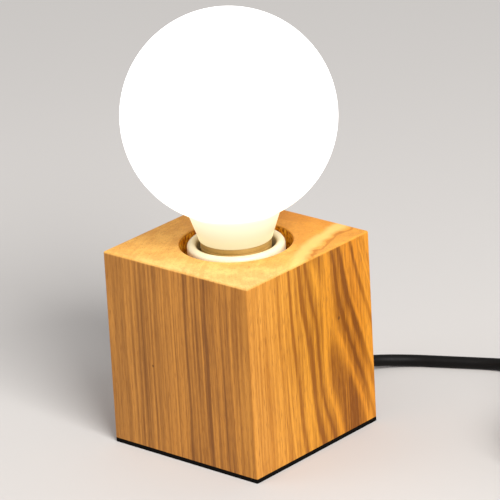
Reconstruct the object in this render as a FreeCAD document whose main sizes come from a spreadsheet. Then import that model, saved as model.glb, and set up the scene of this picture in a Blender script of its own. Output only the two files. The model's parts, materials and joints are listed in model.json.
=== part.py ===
import FreeCAD
import Part

import math
import os
from types import SimpleNamespace

import Sketcher

# A bare bulb table lamp: a squared hardwood block with a turned well, a lampholder fixed in the
# well, a large screw-in globe bulb, and a flexible cord with an inline switch and a plug.
# Millimetres. The origin is the middle of the underside, +Z is up and the cord leaves through +Y.

DIMENSIONS = {
    # the wooden block and the pad under it
    "block_width": 83.0,
    "block_top": 91.0,
    "pad_thickness": 2.0,
    "edge_round": 0.9,
    "well_radius": 25.2,
    "well_floor": 36.0,
    "well_lip_round": 0.8,
    "hollow_radius": 24.0,
    "hollow_top": 26.0,
    "rod_hole_radius": 5.2,
    "cord_height": 9.0,
    "cord_hole_radius": 4.6,
    # the threaded rod that clamps the lampholder to the block
    "rod_radius": 4.95,
    "rod_bore_radius": 4.0,
    "rod_bottom": 20.0,
    "rod_top": 41.0,
    "washer_radius": 10.0,
    "washer_thickness": 1.6,
    "nut_across_flats": 14.0,
    "nut_height": 3.5,
    # the lampholder: dome, outer shell, contact block and screw shell
    "dome_neck_radius": 9.0,
    "dome_curve": 11.0,
    "dome_curve_across": 10.36,
    "dome_curve_height": 51.3,
    "holder_wall": 2.2,
    "holder_radius": 20.2,
    "holder_joint": 47.0,
    "spigot_radius": 17.8,
    "spigot_top": 55.0,
    "spigot_bore": 15.6,
    "holder_bore": 18.0,
    "shoulder_radius": 15.2,
    "shoulder_bottom": 64.0,
    "shoulder_top": 66.0,
    "mouth_radius": 17.55,
    "rim_radius": 21.75,
    "rim_bottom": 84.2,
    "rim_top": 91.2,
    "contact_block_radius": 17.5,
    "contact_well_radius": 10.5,
    "contact_well_floor": 59.5,
    "screw_shell_radius": 13.9,
    "screw_shell_bore": 13.5,
    "screw_shell_top": 86.0,
    "screw_shell_lip": 14.6,
    "screw_shell_flange": 10.2,
    "sheet_thickness": 0.5,
    "rivet_ring": 11.9,
    "rivet_radius": 0.9,
    "rivet_head_radius": 1.5,
    "rivet_head_height": 0.6,
    "contact_strip_width": 5.0,
    "contact_strip_across": 8.0,
    "contact_strip_top": 61.4,
    "terminal_across": 10.0,
    "terminal_width": 5.0,
    "terminal_depth": 6.0,
    "terminal_bottom": 50.0,
    "terminal_screw_radius": 1.15,
    "terminal_head_radius": 1.9,
    # the bulb
    "globe_radius": 47.5,
    "globe_height": 149.5,
    "glass_thickness": 1.2,
    "glass_foot": 92.8,
    "glass_foot_radius": 16.5,
    "glass_foot_round": 0.8,
    "glass_bore": 15.4,
    "neck_top_radius": 20.03,
    "neck_top_height": 104.21,
    "neck_flare": 7.0,
    "neck_flare_radius": 23.23,
    "collar_radius": 15.8,
    "collar_bottom": 86.5,
    "collar_foot_radius": 14.4,
    "collar_spigot_radius": 15.1,
    "collar_bore": 13.6,
    "spreader_plate": 96.0,
    "cap_radius": 13.15,
    "cap_wall": 0.3,
    "cap_bottom": 66.5,
    "cap_top": 88.0,
    "insulator_radius": 11.8,
    "insulator_foot_radius": 5.2,
    "insulator_bottom": 62.6,
    "bulb_contact_radius": 4.6,
    "bulb_contact_bottom": 61.7,
    "spreader_radius": 13.5,
    "spreader_wall": 0.8,
    "spreader_bottom": 88.5,
    "led_board_radius": 14.2,
    "led_board_thickness": 1.2,
    "led_ring": 9.5,
    "led_width": 2.8,
    "led_height": 0.7,
    "driver_width": 16.0,
    "driver_thickness": 1.2,
    "driver_bottom": 68.0,
    "driver_top": 90.0,
    "capacitor_radius": 4.0,
    "capacitor_height": 10.0,
    # the cord and its strain relief
    "cord_radius": 2.7,
    "wire_radius": 1.0,
    "wire_aside": 1.4,
    "inner_bend": 11.0,
    "sheath_top": 43.6,
    "cord_stop_across": 5.4,
    "cord_stop_depth": 5.0,
    "cord_stop_height": 4.6,
    "relief_start": 30.0,
    "relief_end": 56.0,
    "relief_radius": 4.5,
    "relief_flange_radius": 6.2,
    "relief_flange": 1.8,
    "relief_tip_radius": 3.7,
    "relief_bore": 2.76,
    # the coil: piled turns in four layers
    "coil_across": 147.8,
    "coil_along": 71.0,
    "coil_mean_radius": 27.6,
    "coil_pitch": 5.85,
    "coil_first_height": 3.3,
    "tie_wall": 0.4,
    "tie_width": 5.0,
    "tie_corner": 3.0,
    # the switch on the cord
    "switch_across": 118.7,
    "switch_along": 117.8,
    "switch_length": 53.2,
    "switch_width": 18.0,
    "switch_height": 15.0,
    "switch_split": 7.6,
    "switch_wall": 1.6,
    "switch_corner": 6.0,
    "switch_room_length": 36.0,
    "switch_room_width": 10.4,
    "switch_room_top": 13.0,
    "rocker_length": 14.8,
    "rocker_width": 9.6,
    "rocker_pivot": 11.8,
    "rocker_pin_radius": 1.2,
    "rocker_pin_length": 13.8,
    "rocker_tilt": 12.0,
    "switch_screw_across": 22.0,
    "switch_screw_aside": 5.8,
    "switch_post_across": 12.5,
    "switch_post_length": 4.0,
    "switch_post_width": 2.4,
    # the plug
    "plug_across": 125.0,
    "plug_along": 65.7,
    "plug_height": 30.4,
    "plug_relief_length": 16.0,
    "plug_length": 20.0,
    "plug_width": 24.0,
    "plug_thickness": 13.0,
    "plug_round": 3.5,
    "blade_length": 17.0,
    "blade_root": 5.0,
    "blade_width": 6.3,
    "blade_thickness": 1.5,
    "blade_spacing": 12.7,
    "blade_hole_radius": 1.5,
}

COIL_TURNS = 7.98
COIL_LAYERS = 4
RIVET_ANGLES = (60, 180, 300)
LED_COUNT = 12
RELIEF_GROOVES = 5
PLUG_GROOVES = 4

# The cord's route over the table, from the block to the switch, from the switch to the coil, and
# from the coil to the plug. Each list is chosen by hand. The tube runs straight between the
# points and rounds each of them.
LEAD_ROUTE = [
    (0.0, 41.5, 9.0),
    (0.0, 63.0, 9.0),
    (2.6, 83.5, 5.0),
    (13.8, 98.0, 2.7),
    (30.5, 106.4, 2.7),
    (54.0, 118.4, 2.7),
    (80.6, 117.8, 7.6),
    (92.1, 117.8, 7.6),
]
LINK_ROUTE = [
    (145.3, 117.8, 7.6),
    (155.3, 117.8, 7.6),
    (168.6, 113.2, 5.0),
    (178.0, 101.9, 3.5),
    (181.7, 86.9, 3.3),
    (181.39, 76.4, 3.3),
]
TAIL_ROUTE = [
    (181.8, 69.85, 20.85),
    (183.26, 60.4, 20.85),
    (180.7, 45.8, 23.4),
    (170.6, 34.1, 25.4),
    (155.9, 29.0, 27.4),
    (140.8, 32.0, 28.8),
    (129.6, 42.0, 29.8),
    (125.0, 56.2, 30.4),
    (125.0, 65.7, 30.4),
]


class Size:
    """A value that also carries its formula in the names of the sheet."""

    def __init__(self, value, text):
        self.value = float(value)
        self.text = text

    def __add__(self, other):
        return Size(self.value + number(other), f"({self.text} + {formula(other)})")

    def __radd__(self, other):
        return self + other

    def __sub__(self, other):
        return Size(self.value - number(other), f"({self.text} - {formula(other)})")

    def __rsub__(self, other):
        return Size(number(other) - self.value, f"({formula(other)} - {self.text})")

    def __mul__(self, other):
        return Size(self.value * number(other), f"({self.text} * {formula(other)})")

    def __rmul__(self, other):
        return self * other

    def __truediv__(self, other):
        return Size(self.value / number(other), f"({self.text} / {formula(other)})")

    def __neg__(self):
        return Size(-self.value, f"(0 - {self.text})")


def number(size):
    return size.value if isinstance(size, Size) else float(size)


def formula(size):
    return size.text if isinstance(size, Size) else repr(float(size))


def root(size):
    return Size(math.sqrt(size.value), f"sqrt({size.text})")


doc = FreeCAD.newDocument("bulb_lamp")
sheet = doc.addObject("Spreadsheet::Sheet", "Sizes")
for row, (name, value) in enumerate(DIMENSIONS.items(), start=1):
    sheet.set(f"A{row}", name)
    sheet.set(f"B{row}", str(value))
    sheet.setAlias(f"B{row}", name)
doc.recompute()
s = SimpleNamespace(**{name: Size(value, f"Sizes.{name}") for name, value in DIMENSIONS.items()})

parts = []


# ---------------------------------------------------------------- drawing and shaping helpers


def bind(target, property_name, size):
    """Tie one property of an object to the sheet."""
    if isinstance(size, Size):
        target.setExpression(property_name, size.text)


def place(target, across=0, along=0, height=0, axis=(0, 0, 1), angle=0):
    """Put an object somewhere, turned about an axis through its own origin."""
    target.Placement = FreeCAD.Placement(
        FreeCAD.Vector(number(across), number(along), number(height)),
        FreeCAD.Rotation(FreeCAD.Vector(*axis), angle),
    )
    for letter, size in zip("xyz", (across, along, height)):
        bind(target, f"Placement.Base.{letter}", size)
    return target


def keep(target, label):
    """Name a finished sub-part and put it on the list of those that are written."""
    target.Label = label
    parts.append(target)
    return target


def new_body(name):
    return doc.addObject("PartDesign::Body", name)


def new_sketch(body, plane, offset=0):
    """A sketch on one of the body's own planes, moved along that plane's normal."""
    sketch = body.newObject("Sketcher::SketchObject", f"{body.Name}_sketch")
    planes = [item for item in body.Origin.OriginFeatures if item.Role == plane]
    sketch.AttachmentSupport = [(planes[0], "")]
    sketch.MapMode = "FlatFace"
    sketch.AttachmentOffset = FreeCAD.Placement(
        FreeCAD.Vector(0, 0, number(offset)), FreeCAD.Rotation()
    )
    bind(sketch, "AttachmentOffset.Base.z", offset)
    return sketch


def fix(sketch, kind, *items, size):
    """Add a constraint whose value follows the sheet."""
    index = sketch.addConstraint(Sketcher.Constraint(kind, *items, number(size)))
    bind(sketch, f"Constraints[{index}]", size)


def fix_point(sketch, item, end, across, up):
    """Hold one end of a line or arc at a place measured from the sketch's origin."""
    for kind, axis, size in (("DistanceX", -2, across), ("DistanceY", -1, up)):
        if abs(number(size)) < 1e-9:
            sketch.addConstraint(Sketcher.Constraint("PointOnObject", item, end, axis))
        else:
            fix(sketch, kind, -1, 1, item, end, size=size)


def arc_centre(start, end, radius):
    """Centre of the short arc from start to end, which turns left if the radius is positive."""
    middle = (start + end) / 2
    half = (end - start) / 2
    left = FreeCAD.Vector(-half.y, half.x, 0).normalize()
    reach = math.sqrt(max(radius**2 - half.Length**2, 0.0))
    return middle + left * math.copysign(reach, radius)


def outline(sketch, points):
    """A closed outline: (across, up) ends a line, and (across, up, radius) ends an arc that
    turns left for a positive radius and right for a negative one."""
    spots = [FreeCAD.Vector(number(p[0]), number(p[1]), 0) for p in points]
    ends = []
    for index, point in enumerate(points):
        start, end = spots[index - 1], spots[index]
        if len(point) == 2:
            item = sketch.addGeometry(Part.LineSegment(start, end), False)
            ends.append((item, 1, 2))
            continue
        radius = number(point[2])
        centre = arc_centre(start, end, radius)
        first, last = (start, end) if radius > 0 else (end, start)
        angles = [math.atan2(spot.y - centre.y, spot.x - centre.x) for spot in (first, last)]
        circle = Part.Circle(centre, FreeCAD.Vector(0, 0, 1), abs(radius))
        item = sketch.addGeometry(Part.ArcOfCircle(circle, *angles), False)
        ends.append((item, 1, 2) if radius > 0 else (item, 2, 1))
    for index, point in enumerate(points):
        item, _, tip = ends[index]
        following, foot, _ = ends[(index + 1) % len(points)]
        sketch.addConstraint(Sketcher.Constraint("Coincident", item, tip, following, foot))
        fix_point(sketch, item, tip, point[0], point[1])
        if len(point) == 3:
            radius = point[2] if number(point[2]) > 0 else -point[2]
            fix(sketch, "Radius", item, size=radius)


def circle(sketch, across, up, radius):
    spot = FreeCAD.Vector(number(across), number(up), 0)
    item = sketch.addGeometry(
        Part.Circle(spot, FreeCAD.Vector(0, 0, 1), number(radius)), False
    )
    fix_point(sketch, item, 3, across, up)
    fix(sketch, "Radius", item, size=radius)


def rectangle(sketch, width, depth, across=0, up=0):
    outline(
        sketch,
        [
            (across - width / 2, up - depth / 2),
            (across + width / 2, up - depth / 2),
            (across + width / 2, up + depth / 2),
            (across - width / 2, up + depth / 2),
        ],
    )


def add_turn(body, points, kind="Revolution"):
    """Revolve a half outline about the body's own Z axis, as metal or as a cut."""
    sketch = new_sketch(body, "XZ_Plane")
    outline(sketch, points)
    turn = body.newObject(f"PartDesign::{kind}", f"{body.Name}_{kind.lower()}")
    turn.Profile = (sketch, [""])
    turn.ReferenceAxis = (sketch, ["V_Axis"])
    turn.Angle = 360
    sketch.Visibility = False
    return turn


def add_pad(body, sketch, length, kind="Pad"):
    pad = body.newObject(f"PartDesign::{kind}", f"{body.Name}_{kind.lower()}")
    pad.Profile = (sketch, [""])
    pad.Length = number(length)
    bind(pad, "Length", length)
    sketch.Visibility = False
    return pad


def add_round(body, feature, radius, wanted):
    """Round the edges of a feature whose middle passes a test."""
    doc.recompute()
    names = [
        f"Edge{index}"
        for index, edge in enumerate(feature.Shape.Edges, start=1)
        if wanted(edge, edge.valueAt((edge.FirstParameter + edge.LastParameter) / 2))
    ]
    fillet = body.newObject("PartDesign::Fillet", f"{body.Name}_round")
    fillet.Base = (feature, names)
    fillet.Radius = number(radius)
    bind(fillet, "Radius", radius)
    return fillet


def is_upright(edge):
    if not isinstance(edge.Curve, Part.Line):
        return False
    return abs(edge.Curve.Direction.z) > 0.99


def turned(name, points):
    """A body that is one revolved outline."""
    body = new_body(name)
    add_turn(body, points)
    return body


def cylinder(name, radius, height):
    item = doc.addObject("Part::Cylinder", name)
    item.Radius = number(radius)
    item.Height = number(height)
    bind(item, "Radius", radius)
    bind(item, "Height", height)
    return item


def box(name, width, depth, height):
    item = doc.addObject("Part::Box", name)
    for side, size in (("Length", width), ("Width", depth), ("Height", height)):
        setattr(item, side, number(size))
        bind(item, side, size)
    return item


def centred_box(name, width, depth, height, across, along, bottom):
    """A box that stands on a height, with its middle at a place seen from above."""
    return place(box(name, width, depth, height), across - width / 2, along - depth / 2, bottom)


def cut(name, base, tools):
    """The base without the tools."""
    if len(tools) > 1:
        tool = doc.addObject("Part::MultiFuse", f"{name}_tools")
        tool.Shapes = tools
    else:
        tool = tools[0]
    item = doc.addObject("Part::Cut", name)
    item.Base = base
    item.Tool = tool
    return item


def group(name, items):
    """Several separate solids of one kind, kept together in one sub-part."""
    item = doc.addObject("Part::Compound", name)
    item.Links = items
    return item


def ring_places(radius, angles):
    """Places on a circle about the Z axis, each with its angle."""
    for angle in angles:
        turn = math.radians(angle)
        yield radius * math.cos(turn), radius * math.sin(turn), angle


# ---------------------------------------------------------------- block and foot


def make_base_pad():
    body = new_body("base_pad")
    sketch = new_sketch(body, "XY_Plane")
    rectangle(sketch, s.block_width, s.block_width)
    pad = add_pad(body, sketch, s.pad_thickness)
    add_round(body, pad, s.edge_round, lambda edge, middle: is_upright(edge))
    keep(body, "base_pad")


def make_wood_block():
    """The squared block: a turned well for the lampholder, a hollow under it for the nut and the
    cord, a rod hole between the two and a cross hole for the cord."""
    body = new_body("wood_block")
    sketch = new_sketch(body, "XY_Plane", s.pad_thickness)
    rectangle(sketch, s.block_width, s.block_width)
    pad = add_pad(body, sketch, s.block_top - s.pad_thickness)

    def outer_edge(edge, middle):
        on_side = max(abs(middle.x), abs(middle.y)) > s.block_width.value / 2 - 0.01
        return on_side and (is_upright(edge) or middle.z > s.block_top.value - 0.01)

    add_round(body, pad, s.edge_round, outer_edge)
    well = add_turn(
        body,
        [
            (0, s.pad_thickness),
            (s.hollow_radius, s.pad_thickness),
            (s.hollow_radius, s.hollow_top),
            (s.rod_hole_radius, s.hollow_top),
            (s.rod_hole_radius, s.well_floor),
            (s.well_radius, s.well_floor),
            (s.well_radius, s.block_top),
            (0, s.block_top),
        ],
        "Groove",
    )

    def lip_edge(edge, middle):
        out = math.hypot(middle.x, middle.y)
        return middle.z > s.block_top.value - 0.01 and abs(out - s.well_radius.value) < 0.01

    add_round(body, well, s.well_lip_round, lip_edge)
    doc.recompute()
    whole = body.Shape.Volume
    sketch = new_sketch(body, "XZ_Plane")
    circle(sketch, 0, s.cord_height, s.cord_hole_radius)
    add_pad(body, sketch, s.block_width / 2 + 1, "Pocket")
    doc.recompute()
    taken = whole - body.Shape.Volume
    reach = s.block_width.value / 2 - s.hollow_radius.value
    expected = math.pi * s.cord_hole_radius.value**2 * reach
    if not 0.9 < taken / expected < 1.1:
        raise ValueError(f"the cord hole took {taken:.0f} of {expected:.0f} mm3")
    keep(body, "wood_block")


# ---------------------------------------------------------------- rod, washer and nut


def make_rod_set():
    rod = turned(
        "threaded_rod",
        [
            (s.rod_bore_radius, s.rod_bottom),
            (s.rod_radius - 0.5, s.rod_bottom),
            (s.rod_radius, s.rod_bottom + 0.5),
            (s.rod_radius, s.rod_top - 0.5),
            (s.rod_radius - 0.5, s.rod_top),
            (s.rod_bore_radius, s.rod_top),
        ],
    )
    keep(rod, "threaded_rod")

    washer_bottom = s.hollow_top - s.washer_thickness
    washer = turned(
        "rod_washer",
        [
            (s.rod_hole_radius, washer_bottom),
            (s.washer_radius, washer_bottom),
            (s.washer_radius, s.hollow_top),
            (s.rod_hole_radius, s.hollow_top),
        ],
    )
    keep(washer, "rod_washer")

    body = new_body("rod_nut")
    sketch = new_sketch(body, "XY_Plane", washer_bottom - s.nut_height)
    half = s.nut_across_flats / 2
    corner = half * (2 / math.sqrt(3))
    outline(
        sketch,
        [
            (half, -corner / 2),
            (half, corner / 2),
            (0, corner),
            (-half, corner / 2),
            (-half, -corner / 2),
            (0, -corner),
        ],
    )
    circle(sketch, 0, 0, s.rod_radius + 0.05)
    add_pad(body, sketch, s.nut_height)
    keep(body, "rod_nut")


# ---------------------------------------------------------------- lampholder


def make_lampholder_dome():
    """The cap at the foot of the lampholder, which screws on the rod."""
    inner_curve = s.dome_curve - s.holder_wall
    inner_side = s.spigot_bore - s.dome_curve_across
    hollow_side = s.dome_curve_height - root(inner_curve * inner_curve - inner_side * inner_side)
    hollow_floor = s.dome_curve_height - inner_curve
    outer_side = s.holder_radius - s.dome_curve_across
    neck_side = s.dome_neck_radius - s.dome_curve_across
    outer_end = s.dome_curve_height - root(s.dome_curve * s.dome_curve - outer_side * outer_side)
    neck_end = s.dome_curve_height - root(s.dome_curve * s.dome_curve - neck_side * neck_side)
    bore = s.rod_radius + 0.05
    dome = turned(
        "lampholder_dome",
        [
            (bore, s.well_floor),
            (s.dome_neck_radius, s.well_floor),
            (s.dome_neck_radius, neck_end),
            (s.holder_radius, outer_end, s.dome_curve),
            (s.holder_radius, s.holder_joint),
            (s.spigot_radius, s.holder_joint),
            (s.spigot_radius, s.spigot_top),
            (s.spigot_bore, s.spigot_top),
            (s.spigot_bore, hollow_side),
            (s.dome_curve_across, hollow_floor, -inner_curve),
            (bore, hollow_floor),
        ],
    )
    keep(dome, "lampholder_dome")


def make_lampholder_shell():
    """The outer shell: a plain skirt, a shoulder that holds the contact block down and a thick
    rounded rim round the mouth."""
    nose = (s.rim_radius - s.mouth_radius) / 2
    nose_centre = s.mouth_radius + nose
    nose_foot = s.rim_top - nose
    shell = turned(
        "lampholder_shell",
        [
            (s.holder_bore, s.holder_joint),
            (s.holder_radius, s.holder_joint),
            (s.holder_radius, s.rim_bottom - 1.6),
            (s.rim_radius, s.rim_bottom),
            (s.rim_radius, nose_foot),
            (nose_centre, s.rim_top, nose),
            (s.mouth_radius, nose_foot, nose),
            (s.mouth_radius, s.shoulder_top),
            (s.shoulder_radius, s.shoulder_top),
            (s.shoulder_radius, s.shoulder_bottom),
            (s.holder_bore, s.shoulder_bottom),
        ],
    )
    keep(shell, "lampholder_shell")


def make_contact_block():
    """The ceramic disc that carries the contacts."""
    blank = turned(
        "contact_disc",
        [
            (0, s.spigot_top),
            (s.contact_block_radius, s.spigot_top),
            (s.contact_block_radius, s.shoulder_bottom),
            (s.contact_well_radius, s.shoulder_bottom),
            (s.contact_well_radius, s.contact_well_floor),
            (0, s.contact_well_floor),
        ],
    )
    depth = s.shoulder_bottom - s.spigot_top
    tools = []
    for across, along, angle in ring_places(s.rivet_ring, RIVET_ANGLES):
        hole = cylinder(f"rivet_hole_{angle}", s.rivet_radius + 0.05, depth + 2)
        tools.append(place(hole, across, along, s.spigot_top - 1))
    slot_width = s.sheet_thickness + 0.4
    slot = centred_box(
        "strip_slot",
        slot_width,
        s.contact_strip_width + 0.4,
        depth + 2,
        s.contact_strip_across,
        0,
        s.spigot_top - 1,
    )
    tools.append(slot)
    keep(cut("contact_block", blank, tools), "contact_block")


def make_screw_shell():
    """The threaded sleeve that the bulb screws into, with a flange riveted to the disc."""
    floor = s.shoulder_bottom
    blank = turned(
        "screw_sleeve",
        [
            (s.screw_shell_flange, floor),
            (s.screw_shell_radius, floor),
            (s.screw_shell_radius, s.screw_shell_top - 1.2),
            (s.screw_shell_lip, s.screw_shell_top - 0.4),
            (s.screw_shell_lip, s.screw_shell_top),
            (s.screw_shell_bore + 0.3, s.screw_shell_top),
            (s.screw_shell_bore, s.screw_shell_top - 0.8),
            (s.screw_shell_bore, floor + s.sheet_thickness),
            (s.screw_shell_flange, floor + s.sheet_thickness),
        ],
    )
    tools = []
    for across, along, angle in ring_places(s.rivet_ring, RIVET_ANGLES):
        hole = cylinder(f"sleeve_hole_{angle}", s.rivet_radius + 0.05, 3)
        tools.append(place(hole, across, along, floor - 1))
    keep(cut("screw_shell", blank, tools), "screw_shell")


def make_rivets():
    """Three rivets. The one over the neutral terminal has no lower head, because it ends on the
    terminal."""
    head_bottom = s.shoulder_bottom + s.sheet_thickness
    rivets = []
    for across, along, angle in ring_places(s.rivet_ring, RIVET_ANGLES):
        over_terminal = angle == 180
        low = s.spigot_top - (0 if over_terminal else s.rivet_head_height)
        foot = s.rivet_radius if over_terminal else s.rivet_head_radius
        profile = [
            (0, low),
            (foot, low),
            (foot, s.spigot_top),
            (s.rivet_radius, s.spigot_top),
            (s.rivet_radius, head_bottom),
            (s.rivet_head_radius, head_bottom),
            (s.rivet_head_radius, head_bottom + s.rivet_head_height / 2),
            (s.rivet_head_radius / 2, head_bottom + s.rivet_head_height),
            (0, head_bottom + s.rivet_head_height),
        ]
        if over_terminal:
            del profile[2:4]
        rivets.append(place(turned(f"rivet_{angle}", profile), across, along))
    keep(group("shell_rivets", rivets), "shell_rivets")


def make_centre_contact():
    """The bent spring strip under the bulb: up through the slot, then over the well."""
    body = new_body("centre_contact")
    sketch = new_sketch(body, "XZ_Plane", -s.contact_strip_width / 2)
    near = s.contact_strip_across - s.sheet_thickness / 2
    far = s.contact_strip_across + s.sheet_thickness / 2
    bend = s.contact_well_floor + 0.3
    thick = s.sheet_thickness
    outline(
        sketch,
        [
            (near, s.spigot_top),
            (far, s.spigot_top),
            (far, bend + thick),
            (2.0, s.contact_strip_top),
            (-2.0, s.contact_strip_top),
            (-5.0, bend + thick + 0.2),
            (-5.0, bend + 0.2),
            (-2.0, s.contact_strip_top - thick),
            (2.0, s.contact_strip_top - thick),
            (near, bend),
        ],
    )
    add_pad(body, sketch, s.contact_strip_width)
    keep(body, "centre_contact")


def make_terminals():
    """A brass block and its screw on each side, with a hole for the wire from below."""
    screws = []
    height = s.spigot_top - s.terminal_bottom
    for name, side in (("live_terminal", 1), ("neutral_terminal", -1)):
        across = s.terminal_across * side
        block = centred_box(
            f"{name}_block",
            s.terminal_width,
            s.terminal_depth,
            height,
            across,
            0,
            s.terminal_bottom,
        )
        wire_hole = cylinder(f"{name}_wire_hole", s.wire_radius + 0.1, 4.0)
        place(wire_hole, across, 0, s.terminal_bottom - 1)
        screw_hole = cylinder(f"{name}_screw_hole", s.terminal_screw_radius + 0.05, 3.0)
        turn = 90 * side
        middle = s.terminal_bottom + height / 2
        outer = (s.terminal_across + s.terminal_width / 2) * side
        place(screw_hole, outer - 2.0 * side, 0, middle, (0, 1, 0), turn)
        keep(cut(name, block, [wire_hole, screw_hole]), name)

        screw = turned(
            f"{name}_screw",
            [
                (0, 0),
                (s.terminal_screw_radius, 0),
                (s.terminal_screw_radius, 1.3),
                (s.terminal_head_radius, 1.3),
                (s.terminal_head_radius, 2.4),
                (s.terminal_head_radius - 0.4, 2.8),
                (0, 2.8),
            ],
        )
        screws.append(place(screw, outer - 1.3 * side, 0, middle, (0, 1, 0), turn))
    keep(group("terminal_screws", screws), "terminal_screws")


# ---------------------------------------------------------------- bulb


def make_bulb_glass():
    """The opal globe and its neck, one blown shell of even thickness."""
    middle = s.globe_height
    inner = s.globe_radius - s.glass_thickness
    flare_high = s.neck_flare_radius
    flare_high_z = middle - root(s.globe_radius * s.globe_radius - flare_high * flare_high)
    inside = s.neck_top_radius - 0.6
    inside_z = middle - root(inner * inner - inside * inside)
    glass = turned(
        "bulb_glass",
        [
            (s.glass_bore, s.glass_foot),
            (s.glass_foot_radius - s.glass_foot_round, s.glass_foot),
            (s.glass_foot_radius, s.glass_foot + s.glass_foot_round, s.glass_foot_round),
            (s.neck_top_radius, s.neck_top_height),
            (flare_high, flare_high_z, -s.neck_flare),
            (s.globe_radius, middle, s.globe_radius),
            (0, middle + s.globe_radius, s.globe_radius),
            (0, middle + inner),
            (inner, middle, -inner),
            (inside, inside_z, -inner),
            (s.glass_bore, s.glass_foot + 4.0),
        ],
    )
    keep(glass, "bulb_glass")


def make_bulb_collar():
    """The plastic collar between the cap and the glass."""
    collar = turned(
        "bulb_collar",
        [
            (s.cap_radius + 0.05, s.collar_bottom),
            (s.collar_foot_radius, s.collar_bottom),
            (s.collar_radius, s.collar_bottom + 2.0),
            (s.collar_radius, s.glass_foot),
            (s.collar_spigot_radius, s.glass_foot),
            (s.collar_spigot_radius, s.spreader_plate),
            (s.collar_bore, s.spreader_plate),
            (s.collar_bore, s.cap_top),
            (s.cap_radius + 0.05, s.cap_top),
        ],
    )
    keep(collar, "bulb_collar")


def make_bulb_cap():
    """The plated screw cap. Its thread is too fine to matter here and is left plain."""
    bore = s.cap_radius - s.cap_wall
    cap = turned(
        "bulb_cap",
        [
            (s.insulator_radius - 1.6, s.cap_bottom),
            (s.insulator_radius, s.cap_bottom),
            (s.cap_radius, s.cap_bottom + 1.4),
            (s.cap_radius, s.cap_top),
            (bore, s.cap_top),
            (bore, s.cap_bottom + 1.6),
            (s.insulator_radius - 0.2, s.cap_bottom + s.cap_wall),
            (s.insulator_radius - 1.6, s.cap_bottom + s.cap_wall),
        ],
    )
    keep(cap, "bulb_cap")

    insulator = turned(
        "bulb_insulator",
        [
            (0.6, s.insulator_bottom),
            (s.insulator_foot_radius, s.insulator_bottom),
            (s.insulator_radius, s.cap_bottom - 0.6),
            (s.insulator_radius, s.cap_bottom),
            (0.6, s.cap_bottom),
        ],
    )
    keep(insulator, "bulb_insulator")

    contact = turned(
        "bulb_centre_contact",
        [
            (0, s.bulb_contact_bottom),
            (s.bulb_contact_radius - 1.6, s.bulb_contact_bottom),
            (s.bulb_contact_radius, s.bulb_contact_bottom + 0.5),
            (s.bulb_contact_radius, s.insulator_bottom),
            (0, s.insulator_bottom),
        ],
    )
    keep(contact, "bulb_centre_contact")


def make_bulb_inside():
    """What gives the light: a cup that spreads the heat, a round board of chips, and the driver
    board in the cap with its capacitor and leads."""
    plate_top = s.spreader_plate + 1.0
    blank = turned(
        "spreader_cup",
        [
            (0, s.spreader_plate),
            (s.spreader_radius - s.spreader_wall, s.spreader_plate),
            (s.spreader_radius - s.spreader_wall, s.spreader_bottom),
            (s.spreader_radius, s.spreader_bottom),
            (s.spreader_radius, s.spreader_plate),
            (s.collar_spigot_radius, s.spreader_plate),
            (s.collar_spigot_radius, plate_top),
            (0, plate_top),
        ],
    )
    holes = []
    leads = []
    for side in (-1, 1):
        hole = cylinder(f"lead_hole_{side + 2}", 0.8, 3.0)
        holes.append(place(hole, 3.0 * side, 0, s.spreader_plate - 1))
        lead = cylinder(f"board_lead_{side + 2}", 0.5, plate_top - s.driver_top)
        leads.append(place(lead, 3.0 * side, 0, s.driver_top))
    keep(cut("heat_spreader", blank, holes), "heat_spreader")
    keep(group("board_leads", leads), "board_leads")

    board = cylinder("led_board", s.led_board_radius, s.led_board_thickness)
    keep(place(board, height=plate_top), "led_board")

    chips = []
    chip_bottom = plate_top + s.led_board_thickness
    step = 360 / LED_COUNT
    for index in range(LED_COUNT):
        turn = math.radians(index * step)
        chip = centred_box(
            f"led_chip_{index}",
            s.led_width,
            s.led_width,
            s.led_height,
            s.led_ring * math.cos(turn),
            s.led_ring * math.sin(turn),
            chip_bottom,
        )
        chips.append(chip)
    keep(group("led_chips", chips), "led_chips")

    driver = centred_box(
        "driver_board",
        s.driver_width,
        s.driver_thickness,
        s.driver_top - s.driver_bottom,
        0,
        0,
        s.driver_bottom,
    )
    keep(driver, "driver_board")

    capacitor = cylinder("driver_capacitor", s.capacitor_radius, s.capacitor_height)
    aside = s.driver_thickness / 2 + s.capacitor_radius
    keep(place(capacitor, 0, aside, s.driver_bottom + 5), "driver_capacitor")

    lead = cylinder("cap_lead", 0.4, s.driver_bottom - s.insulator_bottom)
    keep(place(lead, height=s.insulator_bottom), "cap_lead")


# ---------------------------------------------------------------- tubes along a route


def rounded_path(points, radius=None):
    """Straight runs joined by tangent arcs. Unless a radius is given, each arc is as large as
    its two runs allow. Returns the edges and the radii."""
    spots = [FreeCAD.Vector(*point) for point in points]
    edges = []
    radii = []
    here = spots[0]
    for before, corner, after in zip(spots, spots[1:], spots[2:]):
        run_in = corner - before
        run_out = after - corner
        turn = run_in.getAngle(run_out)
        if radius is None:
            set_back = 0.45 * min(run_in.Length, run_out.Length)
        else:
            set_back = radius * math.tan(turn / 2)
        bend = set_back / math.tan(turn / 2)
        ahead = FreeCAD.Vector(run_in).normalize()
        away = FreeCAD.Vector(run_out).normalize()
        start = corner - ahead * set_back
        end = corner + away * set_back
        inward = (away - ahead).normalize()
        middle = corner + inward * (math.hypot(bend, set_back) - bend)
        edges.append(Part.LineSegment(here, start).toShape())
        edges.append(Part.Arc(start, middle, end).toShape())
        radii.append(bend)
        here = end
    edges.append(Part.LineSegment(here, spots[-1]).toShape())
    return edges, radii


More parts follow.
